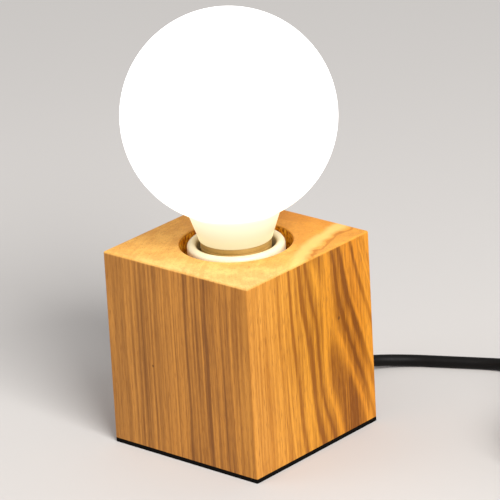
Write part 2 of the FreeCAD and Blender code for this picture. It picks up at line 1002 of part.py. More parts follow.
def tube(edges, radius):
    """A round tube along a path of tangent edges."""
    path = Part.Wire(edges)
    first = edges[0]
    start = first.valueAt(first.FirstParameter)
    heading = first.tangentAt(first.FirstParameter)
    ring = Part.Wire([Part.makeCircle(radius, start, heading)])
    return path.makePipeShell([ring], True, False), path.Length


def add_tube(label, edges, radius):
    """A kept tube whose volume is compared with its section times its length."""
    shape, length = tube(edges, radius)
    share = shape.Volume / (math.pi * radius**2 * length)
    print(f"{label}: length {length:.1f}, volume over section times length {share:.4f}")
    item = doc.addObject("Part::Feature", label)
    item.Shape = shape
    keep(item, label)
    return length


def add_cord(label, points):
    edges, radii = rounded_path(points)
    print(f"{label}: arc radii", " ".join(f"{radius:.1f}" for radius in radii))
    return add_tube(label, edges, s.cord_radius.value)


# ---------------------------------------------------------------- cord inside the lamp


def make_inner_cord():
    """The sheathed cord from the back of the block into the rod, and its two bare cores."""
    face = s.block_width.value / 2
    low = s.cord_height.value
    sheath_top = s.sheath_top.value
    route = [(0, face, low), (0, 0, low), (0, 0, sheath_top)]
    edges, _ = rounded_path(route, radius=s.inner_bend.value)
    add_tube("inner_cord", edges, s.cord_radius.value)

    entry = s.terminal_bottom.value + 2.8
    for label, side in (("live_core", 1), ("neutral_core", -1)):
        start = 1.3 * side
        end = s.terminal_across.value * side
        route = [
            (start, 0, sheath_top),
            (start, 0, sheath_top + 2.4),
            (end, 0, sheath_top + 4.2),
            (end, 0, entry),
        ]
        edges, _ = rounded_path(route, radius=2.0)
        add_tube(label, edges, s.wire_radius.value)


def make_cord_stop():
    """A tie round the cord just inside the hollow, which keeps a pull off the terminals."""
    band = turned(
        "stop_band",
        [
            (s.cord_radius + 0.05, 0),
            (s.cord_radius + 1.3, 0),
            (s.cord_radius + 1.3, 3.2),
            (s.cord_radius + 0.05, 3.2),
        ],
    )
    place(band, 0, 18.0, s.cord_height, (1, 0, 0), -90)
    head_bottom = s.cord_height + s.cord_radius + 0.1
    head = centred_box(
        "stop_head",
        s.cord_stop_across,
        s.cord_stop_depth,
        s.cord_stop_height,
        0,
        19.6,
        head_bottom,
    )
    item = doc.addObject("Part::MultiFuse", "cord_stop")
    item.Shapes = [band, head]
    keep(item, "cord_stop")


def relief_profile(start, length, foot, tip, bore, grooves):
    """Half outline of a tapered sleeve with narrow flexing grooves round it."""
    share = (foot - tip) / length
    step = length / (grooves + 1)
    points = [(bore, start), (foot, start)]
    for index in range(1, grooves + 1):
        middle = step * index
        for side in (-0.6, 0.6):
            along = middle + side
            edge = foot - share * along
            groove = edge - 0.75
            pair = [(edge, start + along), (groove, start + along)]
            points += pair if side < 0 else pair[::-1]
    points += [(tip, start + length), (bore, start + length)]
    return points


def make_strain_relief():
    """The rubber sleeve in the cross hole: a plug in the wood, a flange on its face and a
    grooved taper round the cord."""
    face = s.block_width / 2
    flange_end = face + s.relief_flange
    taper = relief_profile(
        flange_end,
        s.relief_end - flange_end,
        s.relief_radius + 0.4,
        s.relief_tip_radius,
        s.relief_bore,
        RELIEF_GROOVES,
    )
    profile = [
        (s.relief_bore, s.relief_start),
        (s.relief_radius - 0.5, s.relief_start),
        (s.relief_radius, s.relief_start + 1.0),
        (s.relief_radius, face),
        (s.relief_flange_radius, face),
        (s.relief_flange_radius, flange_end - 0.5),
        (s.relief_flange_radius - 0.5, flange_end),
    ]
    relief = turned("strain_relief", profile + taper[1:])
    keep(place(relief, 0, 0, s.cord_height, (1, 0, 0), -90), "strain_relief")


# ---------------------------------------------------------------- coil


def coil_point(turns):
    """Centre of the cord after a number of turns. Each layer winds in or out at a steady rate,
    and the cord climbs to the next layer in the half turn where the winding reverses."""
    per_layer = COIL_TURNS / COIL_LAYERS
    layer = min(int(turns / per_layer), COIL_LAYERS - 1)
    done = turns - layer * per_layer
    pitch = s.coil_pitch.value
    inner = s.coil_mean_radius.value - pitch * per_layer / 2
    outer = s.coil_mean_radius.value + pitch * per_layer / 2
    radius = outer - pitch * done if layer % 2 == 0 else inner + pitch * done
    height = s.coil_first_height.value + layer * pitch
    reversal = round(turns / per_layer)
    past = turns - reversal * per_layer
    if 0 < reversal < COIL_LAYERS and abs(past) < 0.25:
        level = reversal - 0.5 + 0.5 * math.sin(2 * math.pi * past)
        height = s.coil_first_height.value + level * pitch
    angle = -2 * math.pi * turns
    return FreeCAD.Vector(
        s.coil_across.value + radius * math.cos(angle),
        s.coil_along.value + radius * math.sin(angle),
        height,
    )


def coil_heading(turns):
    step = 1e-4
    low = max(turns - step, 0)
    high = min(turns + step, COIL_TURNS)
    return (coil_point(high) - coil_point(low)).normalize()


def arc_from(start, heading_point, end):
    """The arc from start to end that leaves start towards the heading point."""
    chord_middle = (start + end) / 2
    half = (end - start).Length / 2
    to_corner = (heading_point - chord_middle).Length
    set_back = (heading_point - start).Length
    radius = set_back * half / to_corner
    inward = (chord_middle - heading_point).normalize()
    middle = heading_point + inward * (math.hypot(radius, set_back) - radius)
    return Part.Arc(start, middle, end).toShape()


def biarc(start, start_heading, end, end_heading):
    """Two tangent arcs between two points with given headings."""
    gap = end - start
    total = start_heading + end_heading
    spare = 2 * (1 - start_heading.dot(end_heading))
    along = gap.dot(total)
    reach = (-along + math.sqrt(along**2 + spare * gap.dot(gap))) / spare
    first_corner = start + start_heading * reach
    last_corner = end - end_heading * reach
    joint = (first_corner + last_corner) / 2
    return [
        arc_from(start, first_corner, joint),
        arc_from(joint, last_corner, end),
    ]


def coil_stops():
    """Turn counts where the biarcs meet: each quarter turn, and the ends of the climbs."""
    per_layer = COIL_TURNS / COIL_LAYERS
    stops = [0.0]
    for layer in range(COIL_LAYERS):
        start = 0 if layer == 0 else layer * per_layer + 0.25
        end = COIL_TURNS if layer == COIL_LAYERS - 1 else (layer + 1) * per_layer - 0.25
        count = round((end - start) / 0.25)
        stops += [start + (end - start) * index / count for index in range(1, count + 1)]
        if layer < COIL_LAYERS - 1:
            stops += [(layer + 1) * per_layer, (layer + 1) * per_layer + 0.25]
    return stops


def coil_least_gap():
    """Least distance between the surfaces of two turns, measured on points of the centre line."""
    count = 1600
    turns = [COIL_TURNS * index / count for index in range(count + 1)]
    points = [coil_point(turn) for turn in turns]
    near = round(0.4 * count / COIL_TURNS)
    least = min(
        points[index].distanceToPoint(other)
        for index in range(count + 1)
        for other in points[index + near :: 2]
    )
    return least - 2 * s.cord_radius.value


def make_coil():
    """The wound length of the cord: one unbroken tube. Returns the place and heading of its
    last point."""
    stops = coil_stops()
    diameter = 2 * s.cord_radius.value
    start = coil_point(0)
    first = coil_heading(0)
    entry = start - first * diameter
    edges = [Part.LineSegment(entry, start).toShape()]
    for low, high in zip(stops, stops[1:]):
        edges += biarc(coil_point(low), coil_heading(low), coil_point(high), coil_heading(high))
    end = coil_point(COIL_TURNS)
    last = coil_heading(COIL_TURNS)
    leave = end + last * diameter
    edges.append(Part.LineSegment(end, leave).toShape())
    print(f"cord_coil: least gap to itself {coil_least_gap():.2f}")
    length = add_tube("cord_coil", edges, s.cord_radius.value)
    print("cord_coil: starts at", entry, "ends at", leave, "heading", last)
    return length


def make_coil_ties():
    """Two flat ties round the bundle, on opposite sides."""
    per_layer = COIL_TURNS / COIL_LAYERS
    spread = s.coil_pitch * (per_layer / 2) + s.cord_radius + 0.3
    high = s.coil_first_height + s.coil_pitch * (COIL_LAYERS - 1) + s.cord_radius + 0.6
    ties = []
    for name, turn in (("near", -90), ("far", 90)):
        body = new_body(f"tie_{name}")
        sketch = new_sketch(body, "XZ_Plane", -s.tie_width / 2)
        for margin in (0, s.tie_wall):
            inner = s.coil_mean_radius - spread - s.tie_wall + margin
            outer = s.coil_mean_radius + spread + s.tie_wall - margin
            bottom = margin
            top = high - margin
            corner = s.tie_corner - margin
            outline(
                sketch,
                [
                    (outer - corner, bottom),
                    (outer, bottom + corner, corner),
                    (outer, top - corner),
                    (outer - corner, top, corner),
                    (inner + corner, top),
                    (inner, top - corner, corner),
                    (inner, bottom + corner),
                    (inner + corner, bottom, corner),
                ],
            )
        add_pad(body, sketch, s.tie_width)
        place(body, s.coil_across, s.coil_along, 0, (0, 0, 1), turn)
        ties.append(body)
    keep(group("coil_ties", ties), "coil_ties")


# ---------------------------------------------------------------- switch


def at_switch(target):
    return place(target, s.switch_across, s.switch_along)


def switch_half(name, bottom, height, pocket_bottom, pocket_height, rounded_z):
    """One half of the case: rounded ends, a room in the middle and cord grooves at both ends."""
    body = new_body(name)
    sketch = new_sketch(body, "XY_Plane", bottom)
    rectangle(sketch, s.switch_length, s.switch_width)
    pad = add_pad(body, sketch, height)
    corner = add_round(body, pad, s.switch_corner, lambda edge, middle: is_upright(edge))
    edge_height = number(rounded_z)
    add_round(body, corner, 1.5, lambda edge, middle: abs(middle.z - edge_height) < 0.01)
    room = centred_box(
        f"{name}_room",
        s.switch_room_length,
        s.switch_room_width,
        pocket_height,
        0,
        0,
        pocket_bottom,
    )
    groove = cylinder(f"{name}_groove", s.cord_radius + 0.05, s.switch_length + 2)
    place(groove, -s.switch_length / 2 - 1, 0, s.switch_split, (0, 1, 0), 90)
    return body, [room, groove]


def screw_places():
    for side in (-1, 1):
        yield s.switch_screw_across * side, s.switch_screw_aside * -side, side + 2


def make_switch_case():
    base, tools = switch_half(
        "switch_base_blank",
        0,
        s.switch_split,
        s.switch_wall,
        s.switch_split,
        0,
    )
    for across, along, index in screw_places():
        sink = cylinder(f"screw_sink_{index}", 2.6, 2.5)
        tools.append(place(sink, across, along, 0))
        hole = cylinder(f"screw_clear_{index}", 1.3, s.switch_split + 2)
        tools.append(place(hole, across, along, -1.0))
    keep(at_switch(cut("switch_base", base, tools)), "switch_base")

    cover, tools = switch_half(
        "switch_cover_blank",
        s.switch_split,
        s.switch_height - s.switch_split,
        s.switch_split - 1,
        s.switch_room_top - s.switch_split + 1,
        s.switch_height,
    )
    window = centred_box(
        "rocker_window",
        s.rocker_length + 2.8,
        s.rocker_width + 0.8,
        4.0,
        0,
        0,
        s.switch_room_top - 1,
    )
    tools.append(window)
    pin_room_length = s.rocker_pin_length + 0.6
    pin_room = cylinder("rocker_pin_room", s.rocker_pin_radius + 0.15, pin_room_length)
    tools.append(place(pin_room, 0, -pin_room_length / 2, s.rocker_pivot, (1, 0, 0), -90))
    for across, along, index in screw_places():
        pilot = cylinder(f"screw_pilot_{index}", 1.0, 5.4)
        tools.append(place(pilot, across, along, s.switch_split - 0.5))
    keep(at_switch(cut("switch_cover", cover, tools)), "switch_cover")


def make_rocker():
    """The rocker button with its two pins, tilted to its ON side."""
    body = new_body("rocker_button")
    sketch = new_sketch(body, "XZ_Plane", -s.rocker_width / 2)
    half = s.rocker_length / 2
    outline(
        sketch,
        [
            (-half, 0.8),
            (-2.5, -2.2),
            (2.5, -2.2),
            (half, 0.8),
            (half, 4.2),
            (-half, 4.2, s.rocker_length * 2),
        ],
    )
    add_pad(body, sketch, s.rocker_width)
    pin = cylinder("rocker_pin", s.rocker_pin_radius, s.rocker_pin_length)
    place(pin, 0, -s.rocker_pin_length / 2, 0, (1, 0, 0), -90)
    item = doc.addObject("Part::MultiFuse", "switch_rocker")
    item.Shapes = [body, pin]
    tilt = s.rocker_tilt.value
    place(item, s.switch_across, s.switch_along, s.rocker_pivot, (0, 1, 0), -tilt)
    keep(item, "switch_rocker")


def make_switch_inside():
    """Four terminal posts, the bare cores and sheath ends that reach them, and the two screws."""
    posts = []
    cores = []
    sheaths = []
    room = s.switch_room_length / 2
    post_side = s.switch_post_across + s.switch_post_length / 2
    split = s.switch_split
    for side in (-1, 1):
        sheath_length = s.switch_length / 2 - room
        sheath = cylinder(f"sheath_end_{side + 2}", s.cord_radius, sheath_length)
        start = -s.switch_length / 2 if side < 0 else room
        place(sheath, s.switch_across + start, s.switch_along, split, (0, 1, 0), 90)
        sheaths.append(sheath)
        for row in (-1, 1):
            aside = s.wire_aside * row
            name = f"{side + 2}_{row + 2}"
            post = centred_box(
                f"post_{name}",
                s.switch_post_length,
                s.switch_post_width,
                s.switch_split - s.switch_wall + 1.8,
                s.switch_across + s.switch_post_across * side,
                s.switch_along + aside,
                s.switch_wall,
            )
            posts.append(post)
            core = cylinder(f"core_{name}", s.wire_radius, room - post_side)
            core_start = -room if side < 0 else post_side
            place(core, s.switch_across + core_start, s.switch_along + aside, split, (0, 1, 0), 90)
            cores.append(core)
    keep(group("switch_terminals", posts), "switch_terminals")
    keep(group("switch_cores", cores), "switch_cores")
    keep(group("switch_sheath_ends", sheaths), "switch_sheath_ends")

    screws = []
    for across, along, index in screw_places():
        screw = turned(
            f"switch_screw_{index}",
            [
                (0, 0.5),
                (2.4, 0.5),
                (2.4, 1.8),
                (0.95, 2.5),
                (0.95, 12.0),
                (0, 12.0),
            ],
        )
        screws.append(place(screw, s.switch_across + across, s.switch_along + along, 0))
    keep(group("switch_screws", screws), "switch_screws")


# ---------------------------------------------------------------- plug


def at_plug(target):
    return place(target, s.plug_across, s.plug_along, s.plug_height, (1, 0, 0), -90)


def make_plug():
    """A moulded plug with a grooved tail and two flat blades, lying on the coil."""
    tail_end = s.plug_relief_length + 2.0
    tail = turned(
        "plug_tail",
        relief_profile(0, tail_end, s.cord_radius + 1.0, s.cord_radius + 2.0, 0, PLUG_GROOVES),
    )
    body = new_body("plug_block")
    sketch = new_sketch(body, "XY_Plane", s.plug_relief_length)
    rectangle(sketch, s.plug_width, s.plug_thickness)
    pad = add_pad(body, sketch, s.plug_length)
    rounded = add_round(body, pad, s.plug_round, lambda edge, middle: is_upright(edge))
    back = s.plug_relief_length.value
    add_round(body, rounded, 3.0, lambda edge, middle: abs(middle.z - back) < 0.01)
    whole = doc.addObject("Part::MultiFuse", "plug_moulding")
    whole.Shapes = [tail, body]
    face = s.plug_relief_length + s.plug_length
    sockets = []
    blades = []
    for side in (-1, 1):
        across = s.blade_spacing / 2 * side
        socket = centred_box(
            f"blade_socket_{side + 2}",
            s.blade_thickness + 0.04,
            s.blade_width + 0.04,
            s.blade_root + 1,
            across,
            0,
            face - s.blade_root,
        )
        sockets.append(socket)
        blade = new_body(f"blade_{side + 2}")
        sketch = new_sketch(blade, "YZ_Plane", across - s.blade_thickness / 2)
        half = s.blade_width / 2
        tip = face + s.blade_length
        outline(
            sketch,
            [
                (-half, face - s.blade_root),
                (half, face - s.blade_root),
                (half, tip - 1.2),
                (half - 1.2, tip),
                (-half + 1.2, tip),
                (-half, tip - 1.2),
            ],
        )
        circle(sketch, 0, tip - 4.0, s.blade_hole_radius)
        add_pad(blade, sketch, s.blade_thickness)
        blades.append(blade)
    keep(at_plug(cut("plug_body", whole, sockets)), "plug_body")
    keep(at_plug(group("plug_blades", blades)), "plug_blades")


# ---------------------------------------------------------------- assembly and output


def make_lamp():
    make_base_pad()
    make_wood_block()
    make_rod_set()
    make_lampholder_dome()
    make_lampholder_shell()
    make_contact_block()
    make_screw_shell()
    make_rivets()
    make_centre_contact()
    make_terminals()
    make_bulb_glass()
    make_bulb_collar()
    make_bulb_cap()
    make_bulb_inside()
    make_inner_cord()
    make_cord_stop()
    make_strain_relief()
    make_switch_case()
    make_rocker()
    make_switch_inside()
    make_coil_ties()
    make_plug()
    lengths = [
        add_cord("cord_lead", LEAD_ROUTE),
        add_cord("cord_link", LINK_ROUTE),
        make_coil(),
        add_cord("cord_tail", TAIL_ROUTE),
    ]
    print(f"free cord in all {sum(lengths):.1f}")


def write_parts():
    """Check every object, then write each kept sub-part."""
    doc.recompute()
    for item in doc.Objects:
        if "Invalid" in item.State or "Error" in item.State:
            raise ValueError(f"{item.Label} failed: {item.State}")
    os.makedirs("parts", exist_ok=True)
    for item in parts:
        shape = item.Shape
        if shape.isNull() or not shape.isValid() or not shape.Solids:
            raise ValueError(f"{item.Label} has no valid solid")
        shape.exportStep(f"parts/{item.Label}.step")
        print(f"{item.Label}: {len(shape.Solids)} solid(s), {shape.Volume:.1f} mm3")


make_lamp()
write_parts()
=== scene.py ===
import json
import math

import bmesh
import bpy
import numpy as np
from mathutils import Matrix, Vector

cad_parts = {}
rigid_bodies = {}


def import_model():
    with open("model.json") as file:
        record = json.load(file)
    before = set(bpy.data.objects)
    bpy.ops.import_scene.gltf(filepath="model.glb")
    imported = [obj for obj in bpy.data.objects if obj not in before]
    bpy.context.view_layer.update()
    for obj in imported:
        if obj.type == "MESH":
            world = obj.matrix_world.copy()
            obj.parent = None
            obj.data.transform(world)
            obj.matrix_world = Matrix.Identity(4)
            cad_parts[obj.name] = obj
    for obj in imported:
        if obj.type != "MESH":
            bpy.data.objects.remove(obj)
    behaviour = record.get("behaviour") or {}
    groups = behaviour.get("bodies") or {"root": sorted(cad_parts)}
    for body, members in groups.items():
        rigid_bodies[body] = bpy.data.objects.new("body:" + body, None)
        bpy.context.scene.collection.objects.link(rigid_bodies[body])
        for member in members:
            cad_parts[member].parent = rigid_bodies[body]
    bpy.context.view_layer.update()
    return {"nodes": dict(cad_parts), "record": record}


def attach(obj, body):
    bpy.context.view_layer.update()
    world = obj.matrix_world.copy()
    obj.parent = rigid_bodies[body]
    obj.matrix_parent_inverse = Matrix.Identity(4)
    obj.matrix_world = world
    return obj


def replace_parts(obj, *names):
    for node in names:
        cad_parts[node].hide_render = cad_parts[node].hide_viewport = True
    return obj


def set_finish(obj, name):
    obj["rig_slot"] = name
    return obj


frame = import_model()
nodes = frame["nodes"]

# Lengths in this file are millimetres, and MM turns them to Blender's metres.
MM = 0.001
FULL_TURN = 2 * math.pi

# ---------------------------------------------------------------- camera

# The camera was fitted to the block's edges, the lampholder's rim and the globe in the
# 500 by 500 picture. It looks at a point on the lamp's axis.
AZIMUTH = math.radians(41.495)
ELEVATION = math.radians(21.237)
ROLL = math.radians(-3.196)
TARGET = Vector((0, 0, 45 * MM))
DISTANCE = 1872.7 * MM
PICTURE_SIDE = 500
FOCAL_PIXELS = 4224.2
TARGET_PIXEL = (241.47, 337.47)
SENSOR_WIDTH = 36


def make_camera():
    back = Vector(
        (
            math.sin(AZIMUTH) * math.cos(ELEVATION),
            -math.cos(AZIMUTH) * math.cos(ELEVATION),
            math.sin(ELEVATION),
        )
    )
    level = (-back).cross(Vector((0, 0, 1))).normalized()
    upright = level.cross(-back)
    right = level * math.cos(ROLL) + upright * math.sin(ROLL)
    up = upright * math.cos(ROLL) - level * math.sin(ROLL)
    aside = (TARGET_PIXEL[0] - PICTURE_SIDE / 2) / FOCAL_PIXELS
    above = -(TARGET_PIXEL[1] - PICTURE_SIDE / 2) / FOCAL_PIXELS
    place = TARGET - (-back + right * aside + up * above) * DISTANCE
    data = bpy.data.cameras.new("camera")
    data.sensor_width = SENSOR_WIDTH
    data.lens = FOCAL_PIXELS / PICTURE_SIDE * SENSOR_WIDTH
    data.clip_start, data.clip_end = 0.05, 50
    camera = bpy.data.objects.new("camera", data)
    columns = Matrix((right, up, back)).transposed().to_4x4()
    camera.matrix_world = Matrix.Translation(place) @ columns
    bpy.context.scene.collection.objects.link(camera)
    bpy.context.scene.camera = camera


make_camera()

# ---------------------------------------------------------------- the cord

CORD_DIAMETER = 5.4

# These are the points of the cord's own route over the table.
LEAD_ROUTE = [
    (0.0, 41.5, 9.0),
    (0.0, 63.0, 9.0),
    (2.6, 83.5, 5.0),
    (13.8, 98.0, 2.7),
    (30.5, 106.4, 2.7),
    (54.0, 118.4, 2.7),
    (80.6, 117.8, 7.6),
    (92.1, 117.8, 7.6),
]
LINK_ROUTE = [
    (145.3, 117.8, 7.6),
    (155.3, 117.8, 7.6),
    (168.6, 113.2, 5.0),
    (178.0, 101.9, 3.5),
    (181.7, 86.9, 3.3),
]
TAIL_ROUTE = [
    (183.26, 60.4, 20.85),
    (180.7, 45.8, 23.4),
    (170.6, 34.1, 25.4),
    (155.9, 29.0, 27.4),
    (140.8, 32.0, 28.8),
    (129.6, 42.0, 29.8),
    (125.0, 56.2, 30.4),
    (125.0, 65.7, 30.4),
]
INNER_ROUTE = [(0, 41.5, 9), (0, 22, 9), (0, 0, 9), (0, 0, 31), (0, 0, 43.6)]
CORE_ROUTE = [(1.3, 0, 43.6), (1.3, 0, 46.0), (10, 0, 47.8), (10, 0, 52.8)]
COIL_MIDDLE = (147.8, 71.0)
COIL_TURNS = 7.98
COIL_LAYERS = 4
COIL_MEAN_RADIUS = 27.6
COIL_PITCH = 5.85
COIL_FIRST_HEIGHT = 3.3
POINTS_PER_TURN = 24


def coil_points():
    """Points of the wound cord: each layer is a flat spiral that winds in or out at a steady
    pitch, and the height rises by one pitch, as a sine, in the half turn round each reversal.
    Each point stands a little outside the turn, because the smooth line runs inside it."""
    count = round(COIL_TURNS * POINTS_PER_TURN)
    turns = COIL_TURNS * np.arange(count + 1) / count
    per_layer = COIL_TURNS / COIL_LAYERS
    layer = np.minimum(turns // per_layer, COIL_LAYERS - 1)
    done = turns - layer * per_layer
    half = COIL_PITCH * per_layer / 2
    drift = np.where(layer % 2 == 0, half - COIL_PITCH * done, COIL_PITCH * done - half)
    radius = (COIL_MEAN_RADIUS + drift) / math.cos(math.pi / POINTS_PER_TURN)
    reversal = np.round(turns / per_layer)
    past = turns - reversal * per_layer
    climbing = (np.abs(past) < 0.25) & (reversal > 0) & (reversal < COIL_LAYERS)
    level = np.where(climbing, reversal - 0.5 + 0.5 * np.sin(FULL_TURN * past), layer)
    angle = -FULL_TURN * turns
    across = COIL_MIDDLE[0] + radius * np.cos(angle)
    along = COIL_MIDDLE[1] + radius * np.sin(angle)
    return np.stack([across, along, COIL_FIRST_HEIGHT + COIL_PITCH * level], axis=1)


def wire(name, slot, diameter, routes, body="lamp"):
    """Smooth round lines, each a NURBS curve with a route's points as its control points."""
    data = bpy.data.curves.new(name, "CURVE")
    data.dimensions = "3D"
    data.bevel_depth = 1.0
    data.bevel_resolution = 8
    data.resolution_u = 10
    data.use_fill_caps = True
    for route in routes:
        spline = data.splines.new("NURBS")
        spline.points.add(len(route) - 1)
        for point, place in zip(spline.points, route):
            point.co = (place[0] * MM, place[1] * MM, place[2] * MM, 1)
            point.radius = diameter / 2 * MM
        spline.order_u = 3
        spline.use_endpoint_u = True
    piece = bpy.data.objects.new(name, data)
    bpy.context.scene.collection.objects.link(piece)
    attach(piece, body)
    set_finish(piece, slot)
    piece.data.materials.append(None)
    return piece


def mirrored(route):
    return [(-across, along, up) for across, along, up in route]


lead = wire("lead_cord", "black_cord", CORD_DIAMETER, [LEAD_ROUTE])
whole_route = LINK_ROUTE + coil_points().tolist() + TAIL_ROUTE
wound = wire("wound_cord", "black_cord", CORD_DIAMETER, [whole_route])
inner = wire("cord_in_block", "black_cord", CORD_DIAMETER, [INNER_ROUTE])
live = wire("live_wire", "brown_core", 2.0, [CORE_ROUTE])
neutral = wire("neutral_wire", "blue_core", 2.0, [mirrored(CORE_ROUTE)])
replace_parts(lead, "cord_lead")
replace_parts(wound, "cord_link", "cord_coil", "cord_tail")
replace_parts(inner, "inner_cord")
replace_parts(live, "live_core")
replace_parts(neutral, "neutral_core")

# ---------------------------------------------------------------- short wires

SWITCH_MIDDLE = (118.7, 117.8)
SWITCH_SPLIT = 7.6
# Distances from the switch's middle: its ends, the ends of the room inside, the brass posts, and
# how far the cores reach back into the sheath. Each core lies this far from the middle line.
SWITCH_HALF = 26.6
ROOM_HALF = 18.0
POST_FACE = 14.4
CORE_START = 18.4
CORE_ASIDE = 1.4
CORE_DIAMETER = 2.0


def short_route(start, end, bow=(0, 0, 0)):
    """Four points from start to end, with the two between them moved aside by bow."""
    first, last, aside = (np.array(place, float) for place in (start, end, bow))
    between = [first + (last - first) * share + aside for share in (0.35, 0.65)]
    return [place.tolist() for place in (first, *between, last)]


def in_switch(start, end, aside, bow):
    """A straight run inside the switch, from its middle, with a side and a bow."""
    across, along = SWITCH_MIDDLE
    places = [(across + value, along + aside, SWITCH_SPLIT) for value in (start, end)]
    return short_route(*places, bow)


board_wires = wire(
    "board_wires",
    "red_lead",
    1.0,
    [short_route((side * 3.0, 0, 90), (side * 3.0, 0, 97), (0, 0.25, 0)) for side in (-1, 1)],
    "bulb",
)
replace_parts(board_wires, "board_leads")
cap_wire = wire("cap_wire", "red_lead", 0.8, [short_route((0, 0, 62.6), (0, 0, 68))], "bulb")
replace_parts(cap_wire, "cap_lead")
sheath_runs = [
    in_switch(-SWITCH_HALF, -ROOM_HALF, 0, (0, 0, 0)),
    in_switch(ROOM_HALF, SWITCH_HALF, 0, (0, 0, 0)),
]
sheath_ends = wire("sheath_ends", "black_cord", CORD_DIAMETER, sheath_runs)
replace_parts(sheath_ends, "switch_sheath_ends")
for name, slot, aside in (
    ("switch_live_wires", "brown_core", CORE_ASIDE),
    ("switch_neutral_wires", "blue_core", -CORE_ASIDE),
):
    runs = [
        in_switch(-CORE_START, -POST_FACE, aside, (0, 0, 0.3)),
        in_switch(POST_FACE, CORE_START, aside, (0, 0, 0.3)),
    ]
    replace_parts(wire(name, slot, CORE_DIAMETER, runs), "switch_cores")

# ---------------------------------------------------------------- surfaces


def mesh_piece(name, body, slot, points, faces, stands_for=(), crease=35):
    """One closed mesh from points in millimetres: doubles are merged, the faces are turned
    outwards, and edges sharper than the crease angle, in degrees, stay sharp."""
    mesh = bpy.data.meshes.new(name)
    mesh.from_pydata((points * MM).tolist(), [], faces.tolist())
    work = bmesh.new()
    work.from_mesh(mesh)
    bmesh.ops.remove_doubles(work, verts=work.verts, dist=1e-7)
    bmesh.ops.dissolve_degenerate(work, edges=work.edges, dist=1e-8)
    bmesh.ops.recalc_face_normals(work, faces=work.faces)
    work.to_mesh(mesh)
    work.free()
    mesh.shade_smooth()
    mesh.set_sharp_from_angle(angle=math.radians(crease))
    piece = bpy.data.objects.new(name, mesh)
    bpy.context.scene.collection.objects.link(piece)
    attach(piece, body)
    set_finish(piece, slot)
    mesh.materials.append(None)
    if stands_for:
        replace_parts(piece, *stands_for)
    return piece


def grid_faces(rows, columns, first=0):
    """Quads of a grid that closes on itself both ways, as point numbers from first."""
    row, column = np.meshgrid(np.arange(rows), np.arange(columns), indexing="ij")
    below = row * columns
    above = (row + 1) % rows * columns
    beside = (column + 1) % columns
    corners = [below + column, below + beside, above + beside, above + column]
    return first + np.stack(corners, axis=-1).reshape(-1, 4)


def turned(radius, height, columns=128):
    """Points of a closed outline turned about the lamp's axis. The radius and the height are
    one value for each row, or the radius is a grid of one for each row and column."""
    angle = FULL_TURN * np.arange(columns) / columns
    radius = np.asarray(radius, float)
    if radius.ndim == 1:
        radius = np.repeat(radius[:, None], columns, axis=1)
    level = np.repeat(np.asarray(height, float)[:, None], columns, axis=1)
    points = np.stack([radius * np.cos(angle), radius * np.sin(angle), level], axis=-1)
    return points.reshape(-1, 3), grid_faces(len(height), columns)


def rounded(corners, steps=6):
    """A closed outline where each corner (across, up, radius) becomes an arc that touches its
    two sides: the arc's centre is on the corner's bisector, radius / sin(half angle) away."""
    table = np.array(corners, float)
    spot, radius = table[:, :2], table[:, 2:]
    ahead = np.roll(spot, -1, axis=0) - spot
    behind = np.roll(spot, 1, axis=0) - spot
    ahead /= np.linalg.norm(ahead, axis=1, keepdims=True)
    behind /= np.linalg.norm(behind, axis=1, keepdims=True)
    cosine = np.sum(ahead * behind, axis=1, keepdims=True)
    half = np.arccos(np.clip(cosine, -1, 1)) / 2
    bisector = ahead + behind
    bisector /= np.linalg.norm(bisector, axis=1, keepdims=True)
    centre = spot + bisector * radius / np.sin(half)
    first = spot + behind * radius / np.tan(half) - centre
    last = spot + ahead * radius / np.tan(half) - centre
    sweep = (math.pi - 2 * half)[:, None]
    share = np.linspace(0, 1, steps + 1)[None, :, None]
    blend = np.sin((1 - share) * sweep) * first[:, None] + np.sin(share * sweep) * last[:, None]
    return (centre[:, None] + blend / np.sin(sweep)).reshape(-1, 2)


def arc(across, up, radius, start, end, count):
    """Points of an arc round a centre, with its angles in degrees."""
    angle = np.radians(np.linspace(start, end, count))
    return np.stack([across + radius * np.cos(angle), up + radius * np.sin(angle)], axis=1)


def smooth_step(low, high, value):
    share = np.clip((value - low) / (high - low), 0, 1)
    return share * share * (3 - 2 * share)


# ---------------------------------------------------------------- the globe and its cap

GLOBE_RADIUS = 47.5
GLOBE_HEIGHT = 149.5
GLASS = 1.2
# A hollow flare joins the neck to the globe: an arc round this point of the outline, between two
# angles in degrees. The globe's two walls start at these distances from the axis.
FLARE_CENTRE = (26.653, 101.962)
FLARE_RADIUS = 7.0
FLARE_ANGLES = (161.25, 119.27)
OUTER_START = 23.23
INNER_START = 19.43


def make_globe():
    """Opal globe: foot, slanted neck, a hollow flare, and the sphere, with an inner wall."""
    inside = GLOBE_RADIUS - GLASS
    outer_end = math.degrees(math.acos(OUTER_START / GLOBE_RADIUS))
    inner_end = math.degrees(math.acos(INNER_START / inside))
    outline = np.concatenate(
        [
            arc(15.7, 93.6, 0.8, -90, 0, 7),
            np.linspace((16.5, 93.9), (20.03, 104.21), 12),
            arc(*FLARE_CENTRE, FLARE_RADIUS, *FLARE_ANGLES, 12)[1:],
            arc(0, GLOBE_HEIGHT, GLOBE_RADIUS, -outer_end, 90, 96)[1:],
            arc(0, GLOBE_HEIGHT, inside, 90, -inner_end, 64),
            np.linspace((18.2, 104.0), (15.4, 96.8), 6),
            [(15.4, 92.8)],
        ]
    )
    outline[np.abs(outline) < 1e-6] = 0
    points, faces = turned(outline[:, 0], outline[:, 1], 192)
    return mesh_piece("opal_globe", "bulb", "opal_glass", points, faces, ["bulb_glass"])


make_globe()

